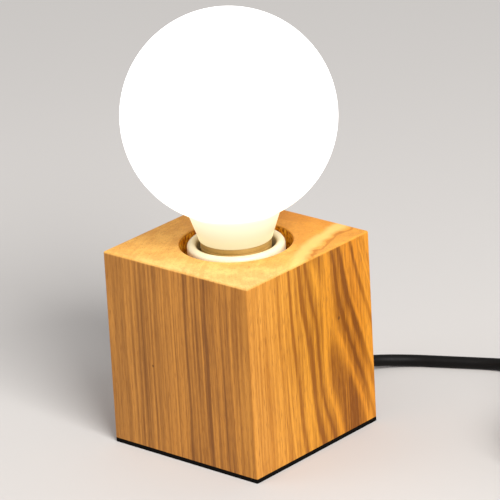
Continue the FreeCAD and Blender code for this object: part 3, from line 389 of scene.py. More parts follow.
collar = rounded(
    [
        (13.2, 86.5, 0.2),
        (14.4, 86.5, 0.5),
        (15.8, 88.5, 0.6),
        (15.8, 90.1, 0.1),
        (15.6, 90.25, 0.05),
        (15.6, 90.55, 0.05),
        (15.8, 90.7, 0.1),
        (15.8, 92.8, 0.3),
        (15.1, 92.8, 0.1),
        (15.1, 96.0, 0.2),
        (13.6, 96.0, 0.1),
        (13.6, 88.0, 0.1),
        (13.2, 88.0, 0.1),
    ]
)
mesh_piece("collar_ring", "bulb", "collar_plastic", *turned(*collar.T), ["bulb_collar"])

# The rolled thread of an E27 cap: seven turns to the inch, right-handed.
THREAD_PITCH = 3.629
THREAD_COLUMNS = 144


def thread_wave(height, columns):
    """Cosine of the thread's phase, 1 on a crest, for each row and column."""
    angle = FULL_TURN * np.arange(columns) / columns
    return np.cos(FULL_TURN * np.asarray(height)[:, None] / THREAD_PITCH - angle)


def make_cap():
    """Thin rolled cap: the root radius plus half the thread's depth times (1 + wave), faded out
    at the foot and blended to the plain skirt at the top. The inner wall repeats it."""
    columns = THREAD_COLUMNS
    height = np.concatenate([np.arange(67.3, 84.2, 0.15), [85.0, 87.4, 88.0]])
    depth = 0.55 * smooth_step(67.9, 69.4, height)[:, None]
    skirt = smooth_step(82.5, 84.0, height)[:, None]
    wall = (12.0 + depth * (1 + thread_wave(height, columns))) * (1 - skirt) + 13.15 * skirt
    foot = arc(11.3, 67.2, 0.7, -90, 0, 6)
    low = np.concatenate([[(10.2, 66.5)], foot])
    high = np.array([(10.2, 66.8), (11.2, 66.8), (11.6, 67.1)])
    plain = [np.repeat(rows[:, :1], columns, axis=1) for rows in (low, high)]
    radius = np.concatenate([plain[0], wall, wall[::-1] - 0.3, plain[1][::-1]])
    level = np.concatenate([low[:, 1], height, height[::-1], high[::-1, 1]])
    points, faces = turned(radius, level, columns)
    return mesh_piece("threaded_cap", "bulb", "nickel_cap", points, faces, ["bulb_cap"])


def make_sleeve():
    """The threaded sleeve of the lampholder. Its bore has the same thread as the cap, in the
    same phase, so the two keep their distance as the bulb turns and rises."""
    columns = THREAD_COLUMNS
    height = np.arange(64.9, 85.0, 0.15)
    strength = smooth_step(65.6, 67.0, height) * (1 - smooth_step(82.5, 84.0, height))
    wall = 13.45 - 0.5 * strength[:, None] * (1 - thread_wave(height, columns))
    lip = np.array(
        [(13.6, 85.4), (13.9, 85.8), (14.3, 86.0), (14.6, 85.9), (14.6, 85.6), (14.2, 85.4)]
    )
    flange = np.array([(13.85, 64.3), (13.5, 64.0), (10.2, 64.0), (10.2, 64.5), (13.1, 64.5)])
    plain = [np.repeat(rows[:, :1], columns, axis=1) for rows in (lip, flange)]
    radius = np.concatenate([wall, plain[0], wall[::-1] + 0.4, plain[1]])
    level = np.concatenate([height, lip[:, 1], height[::-1], flange[:, 1]])
    points, faces = turned(radius, level, columns)
    stands_for = ["screw_shell"]
    return mesh_piece("threaded_sleeve", "lamp", "nickel_shell", points, faces, stands_for)


make_cap()
make_sleeve()

# ---------------------------------------------------------------- lampholder and rod


FLUTES = 48
FLUTE_DEPTH = 0.25


def make_holder_shell():
    """Outer shell of the lampholder: a skirt with shallow flutes, whose depth goes round it as
    (1 + cosine) / 2, a shoulder inside, and a thick rim with a full round nose."""
    columns = FLUTES * 8
    outline = np.concatenate(
        [
            [(18.0, 47.0), (19.9, 47.0), (20.2, 47.3), (20.2, 50.0)],
            np.linspace((20.2, 50.5), (20.2, 80.5), 12),
            [(20.2, 81.0), (20.2, 82.6)],
            arc(20.95, 84.6, 0.8, -45, 0, 5),
            arc(19.65, 89.1, 2.1, 0, 180, 25),
            [(17.55, 66.0), (15.2, 66.0), (15.2, 64.0), (18.0, 64.0)],
        ]
    )
    radius, level = outline.T
    angle = FULL_TURN * np.arange(columns) / columns
    fluted = smooth_step(50, 51, level) * (1 - smooth_step(80, 81, level)) * (radius > 19)
    flute = FLUTE_DEPTH * (0.5 + 0.5 * np.cos(FLUTES * angle))
    radius = radius[:, None] - fluted[:, None] * flute
    points, faces = turned(radius, level, columns)
    stands_for = ["lampholder_shell"]
    return mesh_piece("holder_shell", "lamp", "cream_plastic", points, faces, stands_for)


def make_rod():
    """Hollow rod with a thread of 1 mm pitch cut in it: the radius falls by 0.3 times
    (1 - cosine of the phase)."""
    columns = 48
    height = np.arange(20.0, 41.01, 0.125)
    angle = FULL_TURN * np.arange(columns) / columns
    phase = FULL_TURN * height[:, None] - angle
    end = smooth_step(20.0, 20.8, height) * (1 - smooth_step(40.2, 41.0, height))
    wall = 4.35 + 0.3 * end[:, None] * (1 + np.cos(phase))
    bore = np.full((2, columns), 4.0)
    radius = np.concatenate([wall, bore])
    level = np.concatenate([height, [41.0, 20.0]])
    points, faces = turned(radius, level, columns)
    return mesh_piece("cut_rod", "lamp", "zinc_steel", points, faces, ["threaded_rod"])


make_holder_shell()
make_rod()

# ---------------------------------------------------------------- switch and plug details


def bar(centre, length, width, height, across=(1, 0, 0), up=(0, 0, 1)):
    """Points and faces of a raised bar with round ends: a half ellipse section, drawn in to the
    ends by the square root of 1 - share^6. It lies along `up` x `across`."""
    across, up = np.array(across, float), np.array(up, float)
    along = np.cross(up, across)
    rows, columns = 17, 16
    share = np.sin(np.linspace(-math.pi / 2, math.pi / 2, rows))
    swell = np.sqrt(np.clip(1 - share**6, 0, 1))
    turn = FULL_TURN * np.arange(columns) / columns
    side = np.cos(turn)[None, :, None] * swell[:, None, None] * width / 2
    rise = np.sin(turn)[None, :, None] * swell[:, None, None] * height
    points = share[:, None, None] * length / 2 * along + side * across + rise * up
    points = np.array(centre, float) + points
    faces = grid_faces(rows, columns)[: (rows - 1) * columns]
    return points.reshape(-1, 3), faces


def join(shapes):
    """Several shapes as one set of points and faces."""
    points, faces, first = [], [], 0
    for shape_points, shape_faces in shapes:
        points.append(shape_points)
        faces.append(shape_faces + first)
        first += len(shape_points)
    return np.concatenate(points), np.concatenate(faces)


SWITCH_TOP = 15.0
ROCKER_PIVOT = (118.7, 117.8, 11.8)
ROCKER_TILT = math.radians(12)
ROCKER_CROWN = 5.14
ROCKER_ROUND = 29.6


def make_switch_grips():
    """Five finger bars across each end of the switch's cover."""
    across, along = SWITCH_MIDDLE
    bars = [
        bar((across + side * (13.2 + 2.0 * index), along, SWITCH_TOP - 0.1), 10, 1.0, 0.55)
        for side in (-1, 1)
        for index in range(5)
    ]
    return mesh_piece("switch_grips", "lamp", "black_plastic", *join(bars))


def make_rocker_marks():
    """A raised bar on the rocker's ON end and a raised ring on its OFF end. Both follow the
    rocker's crown, a round of 29.6, and are turned about its pins by 12 degrees."""
    line = bar((-4.8, 0, 0), 2.8, 0.55, 0.3, (0, 1, 0))
    ring_outline = arc(1.25, 0, 0.28, 0, 360, 9)[:-1]
    ring_points, ring_faces = turned(*ring_outline.T, 36)
    points, faces = join([line, (ring_points + (4.8, 0, 0), ring_faces)])
    across, along, up = points.T
    up = up + ROCKER_CROWN - ROCKER_ROUND + np.sqrt(ROCKER_ROUND**2 - across**2)
    tilted = [
        across * math.cos(ROCKER_TILT) - up * math.sin(ROCKER_TILT),
        along,
        across * math.sin(ROCKER_TILT) + up * math.cos(ROCKER_TILT),
    ]
    points = np.stack(tilted, axis=1) + ROCKER_PIVOT
    return mesh_piece("rocker_marks", "rocker", "rocker_plastic", points, faces)


def make_plug_grips():
    """Six finger bars across the top of the plug's body."""
    bars = [bar((125.0, 86.0 + 2.2 * index, 36.8), 12, 1.1, 0.6, (0, 1, 0)) for index in range(6)]
    return mesh_piece("plug_grips", "lamp", "plug_rubber", *join(bars))


STRAP_THICK = 0.45
STRAP_WIDTH = 5.0


def strap_line(angle):
    """The strap's path round the turns that cross one half plane through the coil's axis: the
    outline of all their round sections together. In each direction the farthest section gives
    one point, at its radius that way. Returns places at even steps, which run past the start
    for the lap, and how far each is lifted by the strap's own thickness."""
    step = round(-angle / FULL_TURN % 1 * POINTS_PER_TURN)
    crossing = coil_points()[step::POINTS_PER_TURN]
    reach = np.hypot(crossing[:, 0] - COIL_MIDDLE[0], crossing[:, 1] - COIL_MIDDLE[1])
    centre = np.stack([reach * math.cos(math.pi / POINTS_PER_TURN), crossing[:, 2]], axis=1)
    way = np.radians(10 - np.arange(0, 361, 5.0))
    direction = np.stack([np.cos(way), np.sin(way)], axis=1)
    farthest = np.argmax(direction @ centre.T, axis=1)
    outline = centre[farthest] + direction * (CORD_DIAMETER / 2 + STRAP_THICK + 0.05)
    run = np.concatenate([[0], np.cumsum(np.linalg.norm(np.diff(outline, axis=0), axis=1))])
    place = np.arange(0, run[-1] + 13, 0.8)
    inside = np.mod(place, run[-1])
    line = np.stack([np.interp(inside, run, outline[:, axis]) for axis in (0, 1)], axis=1)
    return line, STRAP_THICK * smooth_step(run[-1] - 4, run[-1], place)[:, None]


def make_coil_straps():
    """Two woven straps round the coil's bundle. Each is a thin band carried along its path,
    once round and then down over its own start; its ends thin out to nothing."""
    soft = 0.3
    straps = []
    for angle in (-math.pi / 2, math.pi / 2):
        line, lift = strap_line(angle)
        heading = np.gradient(line, axis=0)
        heading /= np.linalg.norm(heading, axis=1, keepdims=True)
        outward = np.stack([-heading[:, 1], heading[:, 0]], axis=1)
        line = line + outward * lift
        depth = np.full((len(line), 1), STRAP_THICK)
        depth[[0, -1]] = 0
        middle, inside = line - outward * depth / 2, line - outward * depth
        sides = [
            (line, soft - STRAP_WIDTH / 2),
            (line, STRAP_WIDTH / 2 - soft),
            (middle, STRAP_WIDTH / 2),
            (inside, STRAP_WIDTH / 2 - soft),
            (inside, soft - STRAP_WIDTH / 2),
            (middle, -STRAP_WIDTH / 2),
        ]
        out = np.array((math.cos(angle), math.sin(angle), 0))
        beside = np.array((-math.sin(angle), math.cos(angle), 0))
        columns = [
            (*COIL_MIDDLE, 0) + run[:, :1] * out + aside * beside + run[:, 1:] * (0, 0, 1)
            for run, aside in sides
        ]
        points = np.stack(columns, axis=1).reshape(-1, 3)
        straps.append((points, grid_faces(len(line), 6)[: (len(line) - 1) * 6]))
    return mesh_piece("coil_straps", "lamp", "tie_plastic", *join(straps), ["coil_ties"], 50)


make_switch_grips()
make_rocker_marks()
make_plug_grips()
make_coil_straps()

# ---------------------------------------------------------------- colours and shader nodes


def linear(text):
    """An sRGB hex colour as the linear numbers that a shader takes."""
    values = [int(text[index : index + 2], 16) / 255 for index in (1, 3, 5)]
    return (*(v / 12.92 if v <= 0.04045 else ((v + 0.055) / 1.055) ** 2.4 for v in values), 1)


def set_inputs(tree, node, inputs):
    """Set a node's inputs. Each is a value, a hex colour, a node, for its first output, or a
    (node, output) pair."""
    for name, value in inputs.items():
        source = (value, 0) if isinstance(value, bpy.types.Node) else value
        if isinstance(source, tuple) and isinstance(source[0], bpy.types.Node):
            tree.links.new(source[0].outputs[source[1]], node.inputs[name])
        else:
            node.inputs[name].default_value = linear(value) if isinstance(value, str) else value


def add(tree, kind, inputs=None, stops=None, **settings):
    """Add one shader node with its settings and links. Stops are the (position, hex colour or
    plain number) pairs of a colour ramp."""
    made = tree.nodes.new("ShaderNode" + kind)
    for name, value in settings.items():
        setattr(made, name, value)
    set_inputs(tree, made, inputs or {})
    if stops:
        elements = made.color_ramp.elements
        while len(elements) < len(stops):
            elements.new(0.5)
        for element, (position, colour) in zip(elements, stops):
            element.position = position
            plain = (colour, colour, colour, 1)
            element.color = linear(colour) if isinstance(colour, str) else plain
    return made


# Settings that many nodes share.
ADD = {"operation": "ADD"}
MULTIPLY = {"operation": "MULTIPLY"}
MULTIPLY_ADD = {"operation": "MULTIPLY_ADD"}
MINIMUM = {"operation": "MINIMUM"}
MAXIMUM = {"operation": "MAXIMUM"}
SMOOTH = {"interpolation_type": "SMOOTHSTEP"}
COLOURS = {"data_type": "RGBA"}


def new_material(name):
    material = bpy.data.materials.new(name)
    material.use_nodes = True
    tree = material.node_tree
    return material, tree, tree.nodes["Principled BSDF"]


def finish(
    name,
    dark,
    light,
    roughness,
    grain,
    bump,
    stretch=(1, 1, 1),
    metallic=0.0,
    coat=0.0,
    sheen=0.0,
    specular=0.5,
):
    """A moulded, plated or woven finish: speckle of a real grain size, in millimetres, moves the
    colour between two shades and the roughness between two values, and stands bump high. The
    stretch draws the grain out along an axis, as brushing or turning does."""
    material, tree, shader = new_material(name)
    place = add(tree, "TexCoord")
    scale = tuple(1 / (grain * MM * size) for size in stretch)
    sized = add(tree, "Mapping", {"Vector": (place, "Object"), "Scale": scale})
    speckle = add(tree, "TexNoise", {"Vector": sized, "Scale": 1, "Detail": 4})
    wide = add(tree, "TexNoise", {"Vector": (place, "Object"), "Scale": 120, "Detail": 2})
    both = add(tree, "Math", {0: speckle, 1: wide}, **ADD)
    shade = add(tree, "MapRange", {0: both, 1: 0.7, 2: 1.3}, **SMOOTH)
    colour = add(tree, "Mix", {0: shade, 6: dark, 7: light}, **COLOURS)
    gloss = add(tree, "MapRange", {0: shade, 3: roughness[0], 4: roughness[1]})
    relief = add(tree, "Bump", {"Height": speckle, "Strength": 0.6, "Distance": bump * MM})
    wanted = {
        "Base Color": (colour, 2),
        "Roughness": gloss,
        "Normal": relief,
        "Metallic": metallic,
        "Coat Weight": coat,
        "Sheen Weight": sheen,
        "Specular IOR Level": specular,
    }
    set_inputs(tree, shader, wanted)
    return material


# ---------------------------------------------------------------- wood

BLOCK_HALF = 41.5
BLOCK_TOP = 91.0
WELL_RADIUS = 25.2
# The growth rings are rounds about an upright line outside the block's right side. They sway
# within SWAY millimetres, and lean, towards the back of the right side, by up to LEAN
# millimetres for each millimetre of depth under the top.
HEART = (71.2, 7.5, 0.0)
SWAY = 3.6
LEAN = 0.26
# Regular yearly rings, this many millimetres apart, show most near the front edge.
RING_SPACING = 2.5
# The bolder rings: a distance from that line, in millimetres, and how light the ring is.
RING_TABLE = [
    (28.6, 0.52),
    (29.7, 0.36),
    (30.4, 0.58),
    (31.2, 0.24),
    (32.0, 0.54),
    (32.9, 0.12),
    (34.0, 0.60),
    (40.0, 0.50),
    (43.0, 0.60),
    (50.0, 0.54),
    (57.5, 0.50),
    (69.6, 0.50),
    (71.0, 0.38),
    (72.2, 0.52),
    (73.5, 0.22),
    (74.8, 0.50),
    (79.2, 0.50),
    (80.0, 0.32),
    (80.8, 0.48),
    (81.8, 0.20),
    (83.0, 0.52),
    (92.0, 0.60),
    (102.8, 0.52),
    (104.2, 0.32),
    (105.4, 0.50),
    (112.2, 0.52),
    (113.4, 0.30),
    (114.6, 0.50),
]
RING_FIRST, RING_LAST = 25.0, 130.0
# Each texture of the wood: the lengths of its grain along the axes, in millimetres, its detail
# and its roughness. Fibres are 0.45 mm wide, and pores are dark dashes 0.4 mm wide and 5 mm long.
GRAIN = {
    "sway": ((40, 40, 75), 1.5, 0.5),
    "streak": ((1.5, 1.5, 60), 1.5, 0.5),
    "fibre": ((0.45, 0.45, 16), 3.0, 0.6),
    "cloud": ((13, 13, 42), 1.5, 0.5),
    "fleck": ((0.8, 0.8, 5), 2.0, 0.5),
    "blotch": ((8, 8, 8), 3.0, 0.6),
    "pore": ((0.42, 0.42, 5.5), 1.0, 0.5),
    "chip": ((1.3, 1.3, 2.4), 3.0, 0.5),
}
# The wood's colours from the left side, by the front edge, to the back of the right side. The
# golden, saturated right side is partly the wood's tone and partly painted warm light, the light
# that falls on that side.
LIGHT_WOOD_AND_PAINTED_WARMTH = [
    (0.0, "#C5863C"),
    (0.42, "#CC8838"),
    (0.54, "#DC9840"),
    (0.75, "#DC942C"),
    (0.94, "#D58520"),
    (0.975, "#E2942A"),
]
DARK_WOOD_AND_PAINTED_WARMTH = [
    (0.0, "#835323"),
    (0.42, "#825022"),
    (0.54, "#A2621D"),
    (0.75, "#8D5212"),
    (0.94, "#7A4208"),
    (0.975, "#B26C14"),
]
# The end grain on top, from the back corner to the front one. The pale front end is painted
# highlight, the globe's light on the top.
TOP_WOOD_AND_HIGHLIGHT = [(0.0, "#CE862C"), (0.12, "#D89436"), (0.83, "#E6B058"), (1.0, "#EBBC70")]
# On the top, a pale band and the brown vein beyond it are rounds about another upright line.
BAND_HEART = (125.0, 43.0, 0.0)
BAND_RADIUS = 98.0
VEIN_RADIUS = 92.5
# Small dark spots in the wood: a place on the surface and a radius.
SPOTS = [
    ((-15.9, -41.5, 42.3), 0.9),
    ((41.5, 18.4, 57.3), 1.2),
    ((25.2, -20.8, 91.0), 0.6),
    ((-28.0, 41.5, 30.0), 1.1),
]


def ring_distance(tree, xyz, sway):
    """The distance from the heart as the wood grew: each place is moved back by its lean and
    aside by the sway, and the length of what is left, seen from above, is the ring's radius."""
    middle = SWAY / 2
    heart = tuple(-value - middle for value in HEART)
    moved = {0: (sway, "Color"), 1: (SWAY, SWAY, 0), 2: heart}
    offset = add(tree, "VectorMath", moved, **MULTIPLY_ADD)
    lean = add(tree, "MapRange", {0: (xyz, 1), 1: -30, 2: 42, 3: 0, 4: LEAN})
    below = add(tree, "Math", {0: (xyz, 2), 1: -BLOCK_TOP}, **ADD)
    leaned = add(tree, "Math", {0: below, 1: lean, 2: (xyz, 1)}, **MULTIPLY_ADD)
    flat = add(tree, "CombineXYZ", {0: (xyz, 0), 1: leaned})
    shifted = add(tree, "VectorMath", {0: flat, 1: offset}, **ADD)
    level = add(tree, "VectorMath", {0: shifted, 1: (1, 1, 0)}, **MULTIPLY)
    return add(tree, "VectorMath", {0: level}, operation="LENGTH")


def wood_figure(tree, ring, grain):
    """How light the wood is, about a middle of 0: the bold rings, finer streaks that follow the
    same rounds, the yearly rings as a sine of the radius, and the textures of the grain."""
    share = add(tree, "MapRange", {0: (ring, 1), 1: RING_FIRST, 2: RING_LAST})
    span = RING_LAST - RING_FIRST
    stops = [((radius - RING_FIRST) / span, value) for radius, value in RING_TABLE]
    total = add(tree, "ValToRGB", {0: share}, stops)
    parts = []
    for width, weight in ((2.9, 0.40), (1.1, 0.50)):
        along = {"W": (ring, 1), "Scale": 1 / width, "Detail": 1.0}
        parts.append((add(tree, "TexNoise", along, noise_dimensions="1D"), weight))
    year = add(tree, "Math", {0: (ring, 1), 1: FULL_TURN / RING_SPACING}, **MULTIPLY)
    wave = add(tree, "Math", {0: year}, operation="SINE")
    fading = [(0.14, 0.02), (0.24, 0.075), (0.42, 0.06), (0.6, 0.03)]
    height = add(tree, "ValToRGB", {0: share}, fading)
    total = add(tree, "Math", {0: wave, 1: height, 2: total}, **MULTIPLY_ADD)
    weights = {"streak": 0.60, "fibre": 0.45, "cloud": 0.30, "fleck": 0.22}
    parts += [(grain[name], weight) for name, weight in weights.items()]
    for texture, weight in parts:
        centred = add(tree, "Math", {0: texture, 1: weight, 2: -weight / 2}, **MULTIPLY_ADD)
        total = add(tree, "Math", {0: centred, 1: total}, **ADD)
    return add(tree, "Math", {0: total, 1: -0.5}, **ADD)


def side_colour_and_painted_light(tree, across, figure):
    """Brown on the left side, golden at the front edge and red-brown at the back of the right
    side, where the figure is strongest. The golden shift on the right side is partly the wood's
    tone and partly painted warm light that falls on that side."""
    drift = add(tree, "MapRange", {0: across, 1: -2 * BLOCK_HALF, 2: 2 * BLOCK_HALF})
    light = add(tree, "ValToRGB", {0: drift}, LIGHT_WOOD_AND_PAINTED_WARMTH)
    dark = add(tree, "ValToRGB", {0: drift}, DARK_WOOD_AND_PAINTED_WARMTH)
    strengths = [(0.0, 0.42), (0.44, 0.48), (0.52, 0.34), (0.7, 0.54), (0.9, 0.62)]
    strength = add(tree, "ValToRGB", {0: drift}, strengths)
    contrast = add(tree, "Math", {0: strength, 1: 4.0}, **MULTIPLY)
    tone = add(tree, "Math", {0: figure, 1: contrast, 2: 0.55}, **MULTIPLY_ADD)
    held = add(tree, "Clamp", {0: tone})
    return add(tree, "Mix", {0: held, 6: dark, 7: light}, **COLOURS)


def top_colour(tree, xyz, across, figure, blotch):
    """The end grain: calm, with soft blotches, and paler at once in front of a border that runs
    from the well to the right side. It is also paler towards the front corner: painted highlight,
    the globe's light on the top."""
    forward = add(tree, "Math", {0: (xyz, 1), 1: -1.0, 2: (xyz, 0)}, **MULTIPLY_ADD)
    leftward = add(tree, "Math", {0: across, 1: -0.4, 2: forward}, **MULTIPLY_ADD)
    # painted highlight: this share grows towards the front corner
    nearer = add(tree, "MapRange", {0: leftward, 1: -75, 2: 80, 3: -0.15, 4: 0.85})
    slanted = add(tree, "Math", {0: (xyz, 1), 1: 1.23, 2: (xyz, 0)}, **MULTIPLY_ADD)
    border = add(tree, "Math", {0: blotch, 1: 6.0, 2: slanted}, **MULTIPLY_ADD)
    in_front = add(tree, "MapRange", {0: border, 1: 36.0, 2: 38.5, 3: 0.3, 4: 0.0}, **SMOOTH)
    stepped = add(tree, "Math", {0: nearer, 1: in_front}, **ADD)
    plain = add(tree, "ValToRGB", {0: stepped}, TOP_WOOD_AND_HIGHLIGHT)
    ringed = add(tree, "Math", {0: figure, 1: 0.35, 2: blotch}, **MULTIPLY_ADD)
    patch = add(tree, "MapRange", {0: ringed, 1: 0.36, 2: 0.66, 3: 0.38, 4: 0.0}, **SMOOTH)
    return add(tree, "Mix", {0: patch, 6: plain, 7: "#B87020"}, **COLOURS)


def round_mark(tree, curved, blotch, on_top, radius, wobble, inner, outer, most):
    """How much of a band shows on the top: most up to inner millimetres from its own round,
    and nothing beyond outer. The blotches move the round in and out."""
    wobbled = add(tree, "Math", {0: blotch, 1: wobble, 2: (curved, 1)}, **MULTIPLY_ADD)
    away = add(tree, "Math", {0: wobbled, 1: -radius - wobble / 2}, **ADD)
    off = add(tree, "Math", {0: away}, operation="ABSOLUTE")
    near = add(tree, "MapRange", {0: off, 1: inner, 2: outer, 3: most, 4: 0.0}, **SMOOTH)
    return add(tree, "Math", {0: near, 1: on_top}, **MULTIPLY)


def dark_spots(tree, spot):
    """How dark the small spots are: each fades out from 0.3 of its radius to its radius."""
    darkest = 0.0
    for centre, radius in SPOTS:
        away = add(tree, "VectorMath", {0: spot, 1: centre}, operation="DISTANCE")
        fading = {0: (away, 1), 1: radius * 0.3, 2: radius, 3: 0.75, 4: 0.0}
        near = add(tree, "MapRange", fading, **SMOOTH)
        darkest = add(tree, "Math", {0: near, 1: darkest}, **MAXIMUM)
    return darkest


def edge_wear_and_painted_highlight(tree, xyz):
    """How far the edges are paler, by the distance inside the block's outline: along the top's
    edge, from the nearer of the side and the top, and along the upright edges. The paleness is
    partly sanded wear and partly painted highlight, where light catches the rounded edges."""
    sizes = [add(tree, "Math", {0: (xyz, axis)}, operation="ABSOLUTE") for axis in (0, 1)]
    least = add(tree, "Math", {0: sizes[0], 1: sizes[1]}, **MINIMUM)
    most = add(tree, "Math", {0: sizes[0], 1: sizes[1]}, **MAXIMUM)
    upright_edge = add(tree, "Math", {0: least, 1: -BLOCK_HALF}, **ADD)
    outline = add(tree, "Math", {0: most, 1: -BLOCK_HALF}, **ADD)
    under_top = add(tree, "Math", {0: (xyz, 2), 1: -BLOCK_TOP}, **ADD)
    top_edge = add(tree, "Math", {0: outline, 1: under_top}, **MINIMUM)
    along_top = add(tree, "MapRange", {0: top_edge, 1: -1.2, 2: -0.1, 3: 0.0, 4: 0.4}, **SMOOTH)
    fading = {0: upright_edge, 1: -0.8, 2: 0.0, 3: 0.0, 4: 0.15}
    along_side = add(tree, "MapRange", fading, **SMOOTH)
    return add(tree, "Math", {0: along_top, 1: along_side}, **MAXIMUM)


def inside_well(tree, xyz, flat):
    """1 on the well's wall and floor, and 0 on the rest of the wood."""
    reach = add(tree, "VectorMath", {0: flat}, operation="LENGTH")
    within = {0: (reach, 1), 1: WELL_RADIUS, 2: WELL_RADIUS + 0.5, 3: 1, 4: 0}
    inside = add(tree, "MapRange", within)
    beneath = {0: (xyz, 2), 1: BLOCK_TOP - 1.4, 2: BLOCK_TOP - 0.5, 3: 1, 4: 0}
    under = add(tree, "MapRange", beneath)
    return add(tree, "Math", {0: inside, 1: under}, **MULTIPLY)


def oiled_hardwood():
    """Solid hardwood, sawn, sanded and oiled, with its grain upright. Growth rings are rounds
    about a line beside the block, so they run as upright streaks on the sides and as faint
    curves on the end grain. Long fibres and short dark pores give it its fine texture."""
    material, tree, shader = new_material("oiled_hardwood")
    place = add(tree, "TexCoord")
    spot = add(tree, "VectorMath", {0: (place, "Object"), 3: 1 / MM}, operation="SCALE")
    xyz = add(tree, "SeparateXYZ", {0: spot})
    grain = {}
    for name, (lengths, detail, roughness) in GRAIN.items():
        sized = add(tree, "Mapping", {0: spot, 3: tuple(1 / length for length in lengths)})
        wanted = {"Vector": sized, "Scale": 1, "Detail": detail, "Roughness": roughness}
        grain[name] = add(tree, "TexNoise", wanted)

    figure = wood_figure(tree, ring_distance(tree, xyz, grain["sway"]), grain)
    across = add(tree, "Math", {0: (xyz, 0), 1: (xyz, 1)}, **ADD)
    flat = add(tree, "VectorMath", {0: spot, 1: (1, 1, 0)}, **MULTIPLY)
    curved = add(tree, "VectorMath", {0: flat, 1: BAND_HEART}, operation="DISTANCE")
    on_top = add(tree, "MapRange", {0: (xyz, 2), 1: BLOCK_TOP - 1.0, 2: BLOCK_TOP - 0.2}, **SMOOTH)
    marks = (tree, curved, grain["blotch"], on_top)
    top = top_colour(tree, xyz, across, figure, grain["blotch"])
    open_pore = {0: grain["pore"], 1: 0.56, 2: 0.72, 3: 0.0, 4: 0.5}
    pores = add(tree, "MapRange", open_pore, **SMOOTH)
    # the wall of the well is rough from turning, which tore its fibres; they lie between brown
    # hollows. Their bright golden is painted light, the globe's light falling on the wall.
    in_well = inside_well(tree, xyz, flat)
    torn_grain_and_glow = [(0.34, "#8A4606"), (0.46, "#DC860E"), (0.60, "#FFC03C")]
    wall = add(tree, "ValToRGB", {0: grain["chip"]}, torn_grain_and_glow)
    # each layer covers the ones before it by its share
    # the sides' colours hold painted warm light on the right side
    colour = side_colour_and_painted_light(tree, across, figure)
    for share, cover in (
        (on_top, (top, 2)),
        (pores, "#8A5018"),
        (round_mark(*marks, BAND_RADIUS, 5.0, 1.0, 5.0, 0.65), "#F2C878"),
        (round_mark(*marks, VEIN_RADIUS, 9.0, 0.2, 1.3, 0.75), "#B06A1C"),
        (dark_spots(tree, spot), "#5A3312"),
        # paler edges: partly sanded wear, partly painted highlight
        (edge_wear_and_painted_highlight(tree, xyz), "#DC9C48"),
        (in_well, wall),
    ):
        colour = add(tree, "Mix", {0: share, 6: (colour, 2), 7: cover}, **COLOURS)

    # fibres and pores are felt, and the well's wall more so
    depth = add(tree, "Math", {0: pores, 1: -1.5, 2: grain["fibre"]}, **MULTIPLY_ADD)
    felt = add(tree, "Mix", {0: in_well, 2: depth, 3: grain["chip"]})
    height = add(tree, "MapRange", {0: in_well, 3: 0.08 * MM, 4: 0.6 * MM})
    relief = add(tree, "Bump", {"Height": felt, "Distance": height, "Strength": 0.7})
    gloss = add(tree, "MapRange", {0: grain["fibre"], 1: 0.3, 2: 0.7, 3: 0.52, 4: 0.4})
    # oil soaks in and leaves only a low sheen
    wanted = {
        "Base Color": (colour, 2),
        "Roughness": gloss,
        "Normal": relief,
        "Specular IOR Level": 0.2,
    }
    set_inputs(tree, shader, wanted)
    return material


# ---------------------------------------------------------------- the globe's light

NECK_GLOW = [
    (0.0, "#D6C08A"),
    (0.15, "#E2D0A0"),
    (0.42, "#F2E8CC"),
    (0.7, "#FFFBF0"),
    (1.0, "#FFFFFF"),
]
# The glass's base colour: grey towards the neck as painted shade, white on the globe.
GLASS_BODY_AND_NECK_SHADE = [(0.0, "#7C7668"), (0.45, "#8E897C"), (1.0, "#E6E4DE")]


def lit_opal_glass():
    """Opal glass, white through its thickness and fire-polished, lit evenly from inside. It glows
    white, and cream towards the neck, which is further from the lamp's chips. Its base colour
    greys towards the neck, which is painted shade."""
    material, tree, shader = new_material("lit_opal_glass")
    place = add(tree, "TexCoord")
    xyz = add(tree, "SeparateXYZ", {0: (place, "Object")})
    share = add(tree, "MapRange", {0: (xyz, 2), 1: 92 * MM, 2: 122 * MM})
    glow = add(tree, "ValToRGB", {0: share}, NECK_GLOW)
    body = add(tree, "ValToRGB", {0: share}, GLASS_BODY_AND_NECK_SHADE)
    power = add(tree, "MapRange", {0: share, 1: 0.4, 2: 1, 3: 1.0, 4: 1.5}, **SMOOTH)
    ripple = add(tree, "TexNoise", {"Vector": (place, "Object"), "Scale": 90, "Detail": 1})
    relief = add(tree, "Bump", {"Height": ripple, "Strength": 0.2, "Distance": 0.05 * MM})
    wanted = {
        "Base Color": body,
        "Emission Color": glow,
        "Emission Strength": power,
        "Normal": relief,
        "Roughness": 0.22,
        "IOR": 1.5,
    }
    set_inputs(tree, shader, wanted)
    return material


# ---------------------------------------------------------------- the other finishes

